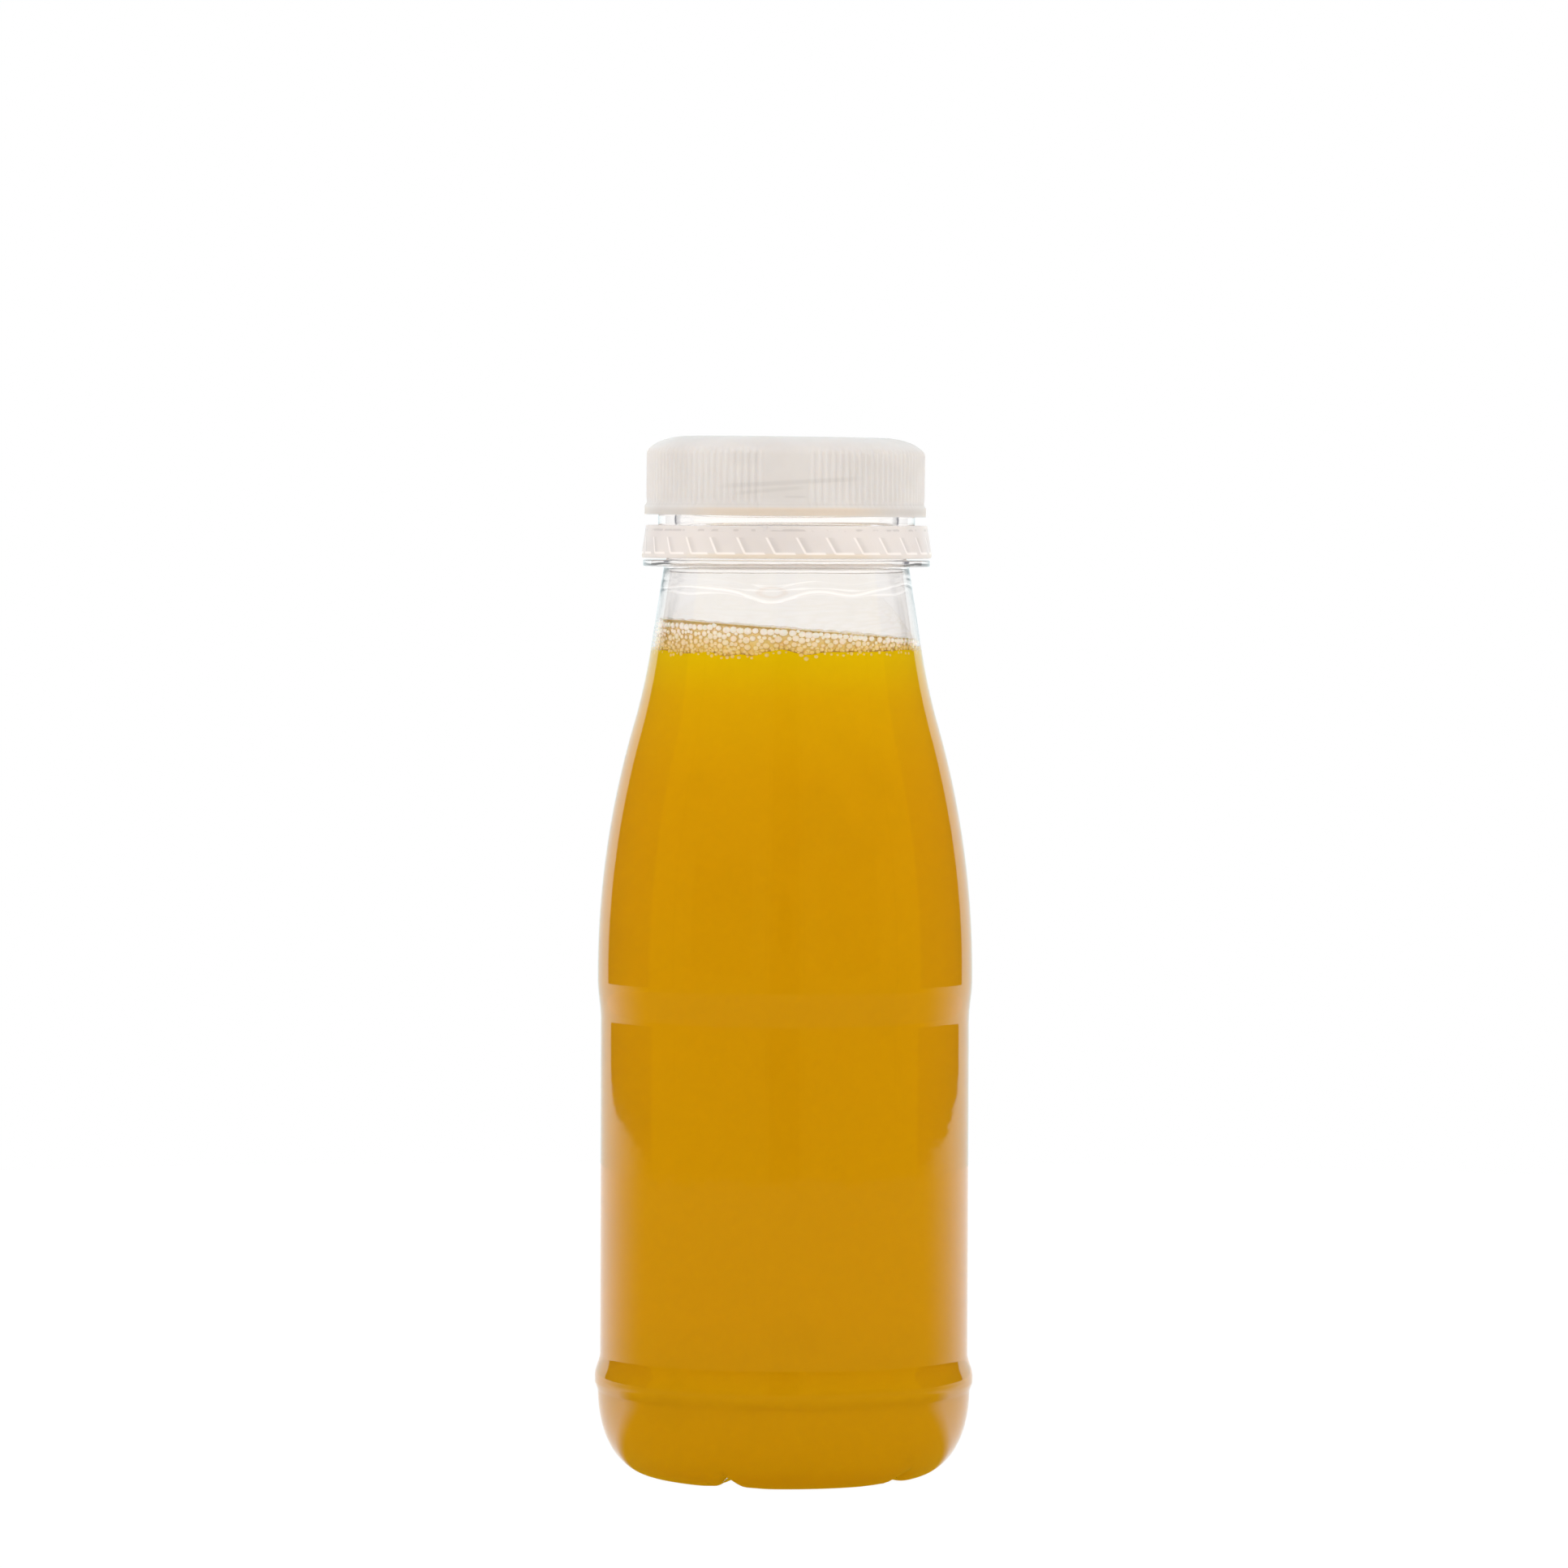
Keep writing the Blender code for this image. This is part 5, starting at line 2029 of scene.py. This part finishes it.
    def refracted_studio(self, bench: Bench) -> bpy.types.NodeSocket:
        """What shows through clear plastic: white, with a narrow dark gap at both sides.

        Args:
            bench: The world's bench.

        Returns:
            The colour.
        """
        side, height = self.heading(bench)
        across = bench.span(bench.away(side, self.slit_side), *self.slit_span)
        slit = bench.product(across, bench.span(bench.sum("ABSOLUTE", height), *self.slit_height))
        return bench.mix(slit, self.through, self.slit)

    def lit_studio(self, bench: Bench) -> bpy.types.NodeSocket:
        """The even light that falls on every surface, stronger from both sides.

        Args:
            bench: The world's bench.

        Returns:
            The light as a grey.
        """
        side, height = self.heading(bench)
        beside = bench.span(bench.away(side, self.boost_side), *self.boost_span)
        beside = bench.product(beside, bench.span(bench.sum("ABSOLUTE", height), *self.boost_height))
        even, strong = self.soft_light, self.soft_light * (1.0 + self.side_boost)
        light = bench.mix(beside, (even,) * 3, (strong,) * 3)
        return bench.mix(bench.span(height, *self.overhead_height), light, (self.overhead_light,) * 3)

    def front_light(
        self, bench: Bench, side: bpy.types.NodeSocket, rise: bpy.types.NodeSocket
    ) -> bpy.types.NodeSocket:
        """How bright the mirrored front is, dimmed by a gap, two panels, thin lines and a small spot.

        Args:
            bench: The world's bench.
            side: The ray's side.
            rise: The ray's rise.

        Returns:
            The brightness, from 0 to 1.
        """
        middle, edge = self.gap_half_angle, self.gap_edge
        gap = bench.product(bench.span(side, middle + edge, middle - edge), bench.span(rise, *self.gap_top))
        edge = self.panel_edge
        panel = bench.product(
            bench.span(side, self.panel_start - edge, self.panel_start + edge),
            bench.span(side, self.panel_end + edge, self.panel_end - edge),
            bench.span(rise, self.panel_top + edge, self.panel_top - edge),
            bench.span(rise, *self.panel_bottom),
        )
        thin = bench.sum("MINIMUM", *(bench.away(side, at) for at in self.line_sides))
        thin = bench.product(bench.span(thin, *self.line_span), bench.span(rise, *self.line_bottom))
        across = bench.sum("POWER", bench.sum("DIVIDE", side, self.spot_side), 2.0)
        upright = bench.sum("DIVIDE", bench.sum("SUBTRACT", rise, self.spot_rise), self.spot_rise)
        spot = bench.span(bench.sum("ADD", across, bench.sum("POWER", upright, 2.0)), *self.spot_span)
        dim = bench.sum("ADD", bench.product(gap, self.gap_dim), bench.product(panel, self.panel_dim))
        dim = bench.sum("MAXIMUM", dim, bench.product(thin, self.line_dim))
        dim = bench.sum("ADD", dim, bench.product(spot, self.spot_dim))
        return bench.sum("SUBTRACT", 1.0, dim, clamp=True)

    def mirrored_studio(self, bench: Bench) -> bpy.types.NodeSocket:
        """What the gloss mirrors: white behind, dark at both sides, warm and soft in front, white overhead.

        Args:
            bench: The world's bench.

        Returns:
            The colour.
        """
        side, height = self.heading(bench)
        rise = bench.sum("DEGREES", bench.sum("ARCSINE", height))
        front = bench.mix(self.front_light(bench, side, rise), BLACK, self.front)
        start, end = self.dark_start + self.dark_edge, self.dark_start - self.dark_edge
        colour = bench.mix(bench.span(side, start, end), (self.side_light,) * 3, front)
        foot = bench.sum("DIVIDE", bench.sum("SUBTRACT", self.foot_start, rise), self.foot_depth, clamp=True)
        drop = bench.product(foot, foot, self.back_start - self.dark_start)
        start, end = self.back_start - self.back_edge, self.back_start + self.back_edge
        behind = bench.span(bench.sum("ADD", side, drop), start, end)
        soft = bench.span(side, self.dark_start, self.back_start + self.back_softness)
        pale = bench.sum("SUBTRACT", 1.0, bench.product(bench.sum("SUBTRACT", 1.0, soft), foot))
        colour = bench.mix(behind, colour, bench.mix(pale, front, self.back))
        ceiling = bench.span(rise, self.ceiling_start, self.ceiling_start + self.ceiling_fade)
        return bench.mix(ceiling, colour, WHITE)

    def set_world(self) -> None:
        """Sets an even soft light, a white background and the studio that the gloss mirrors."""
        scene = bpy.context.scene
        world = bpy.data.worlds.new("studio")
        scene.world = world
        world.use_nodes = True
        world.node_tree.nodes.clear()
        bench = Bench(world.node_tree)
        rays = bench.add("ShaderNodeLightPath")
        soft = bench.mix(rays.outputs["Is Camera Ray"], self.lit_studio(bench), WHITE)
        through = bench.mix(self.passed_plastic(bench), self.mirrored_studio(bench), self.refracted_studio(bench))
        colour = bench.mix(self.plainly_seen(bench), through, soft)
        light = bench.add("ShaderNodeBackground", {"Color": colour, "Strength": 1.0})
        out = bench.add("ShaderNodeOutputWorld")
        bench.tree.links.new(light.outputs[0], out.inputs["Surface"])
        scene.view_settings.view_transform = "Standard"

    def add_softbox(self, name: str, azimuth: float) -> None:
        """Adds one large soft light that faces the bottle.

        Args:
            name: The light's name.
            azimuth: Where it stands.
        """
        data = bpy.data.lights.new(name, "AREA")
        data.shape, data.size, data.energy = "SQUARE", self.lamp_size, self.lamp_power
        lamp = bpy.data.objects.new(name, data)
        lamp.location = around(1.0, azimuth, self.lamp_height)
        way = Vector((0.0, 0.0, self.lamp_aim)) - lamp.location
        lamp.rotation_euler = way.to_track_quat("-Z", "Y").to_euler()
        lamp.visible_camera = lamp.visible_glossy = lamp.visible_transmission = False
        bpy.context.scene.collection.objects.link(lamp)

    def set_lights(self) -> None:
        """Sets the two front softboxes."""
        self.add_softbox("softbox_left", -self.lamp_azimuth)
        self.add_softbox("softbox_right", self.lamp_azimuth)

    def set_up(self, effects: SharedEffects) -> None:
        """Sets up the floor, the light and the camera.

        Args:
            effects: The shared node groups.
        """
        self.set_floor(effects)
        self.set_world()
        self.set_lights()
        self.set_camera()
        LOG.info("studio is set")


def cap_finish(effects: SharedEffects) -> MilkyPlastic:
    """The cap's finish, with painted shade where its thread, its plug and its mouth show through.

    Args:
        effects: The shared node groups.

    Returns:
        The finish.
    """
    streaks = (
        PaintedShadeStreak(-33.0, 70.0, 145.7, 7.0, 0.5, 0.32),
        PaintedShadeStreak(-24.0, 34.0, 144.7, 11.0, 0.42, 0.28),
        PaintedShadeStreak(-2.0, 11.0, 144.3, 0.0, 0.24, 0.28),
        PaintedShadeStreak(-25.0, 15.0, 149.9, 0.0, 1.5, 0.14),
        # A thin line of painted shade at the flange's top edge.
        PaintedShadeStreak(-180.0, 360.0, 143.15, 0.0, 0.22, 0.15, copies=1),
        # A wide band of painted shade over the flange.
        PaintedShadeStreak(-180.0, 360.0, 142.1, 0.0, 0.9, 0.4, copies=1),
    )
    return MilkyPlastic(
        effects,
        Slot.CAP.value,
        body=(0.573, 0.549, 0.536),
        shade=(0.543, 0.519, 0.506),
        painted_warm_light=(0.67, 0.545, 0.42),
        painted_warm_bottom=141.3,
        painted_warm_top=142.9,
        streaks=streaks,
    )


def ring_finish(effects: SharedEffects) -> MilkyPlastic:
    """The tamper ring's finish, with painted highlights and painted shade where its flaps show through.

    Args:
        effects: The shared node groups.

    Returns:
        The finish.
    """
    return MilkyPlastic(
        effects,
        Slot.RING.value,
        body=(0.605, 0.567, 0.55),
        shade=(0.565, 0.527, 0.512),
        painted_warm_light=(0.60, 0.52, 0.43),
        painted_warm_bottom=135.2,
        painted_warm_top=136.2,
        flaps=True,
    )


def main() -> None:
    """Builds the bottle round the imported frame, then the studio."""
    logging.basicConfig(level=logging.INFO, format="%(name)s: %(message)s")
    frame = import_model()
    LOG.info("frame holds %s", ", ".join(sorted(frame["nodes"])))
    effects = SharedEffects.built()
    shape, line = BottleShape(), FillLine()
    BottleShell(shape).dress(ClearPlastic(effects))
    ScrewCap().dress(cap_finish(effects))
    TamperRing().dress(ring_finish(effects))
    Juice(shape, line).dress(OrangeJuice(effects))
    Froth(shape, line).dress(JuiceFroth(effects))
    Studio().set_up(effects)
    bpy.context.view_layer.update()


if __name__ == "__main__":
    main()
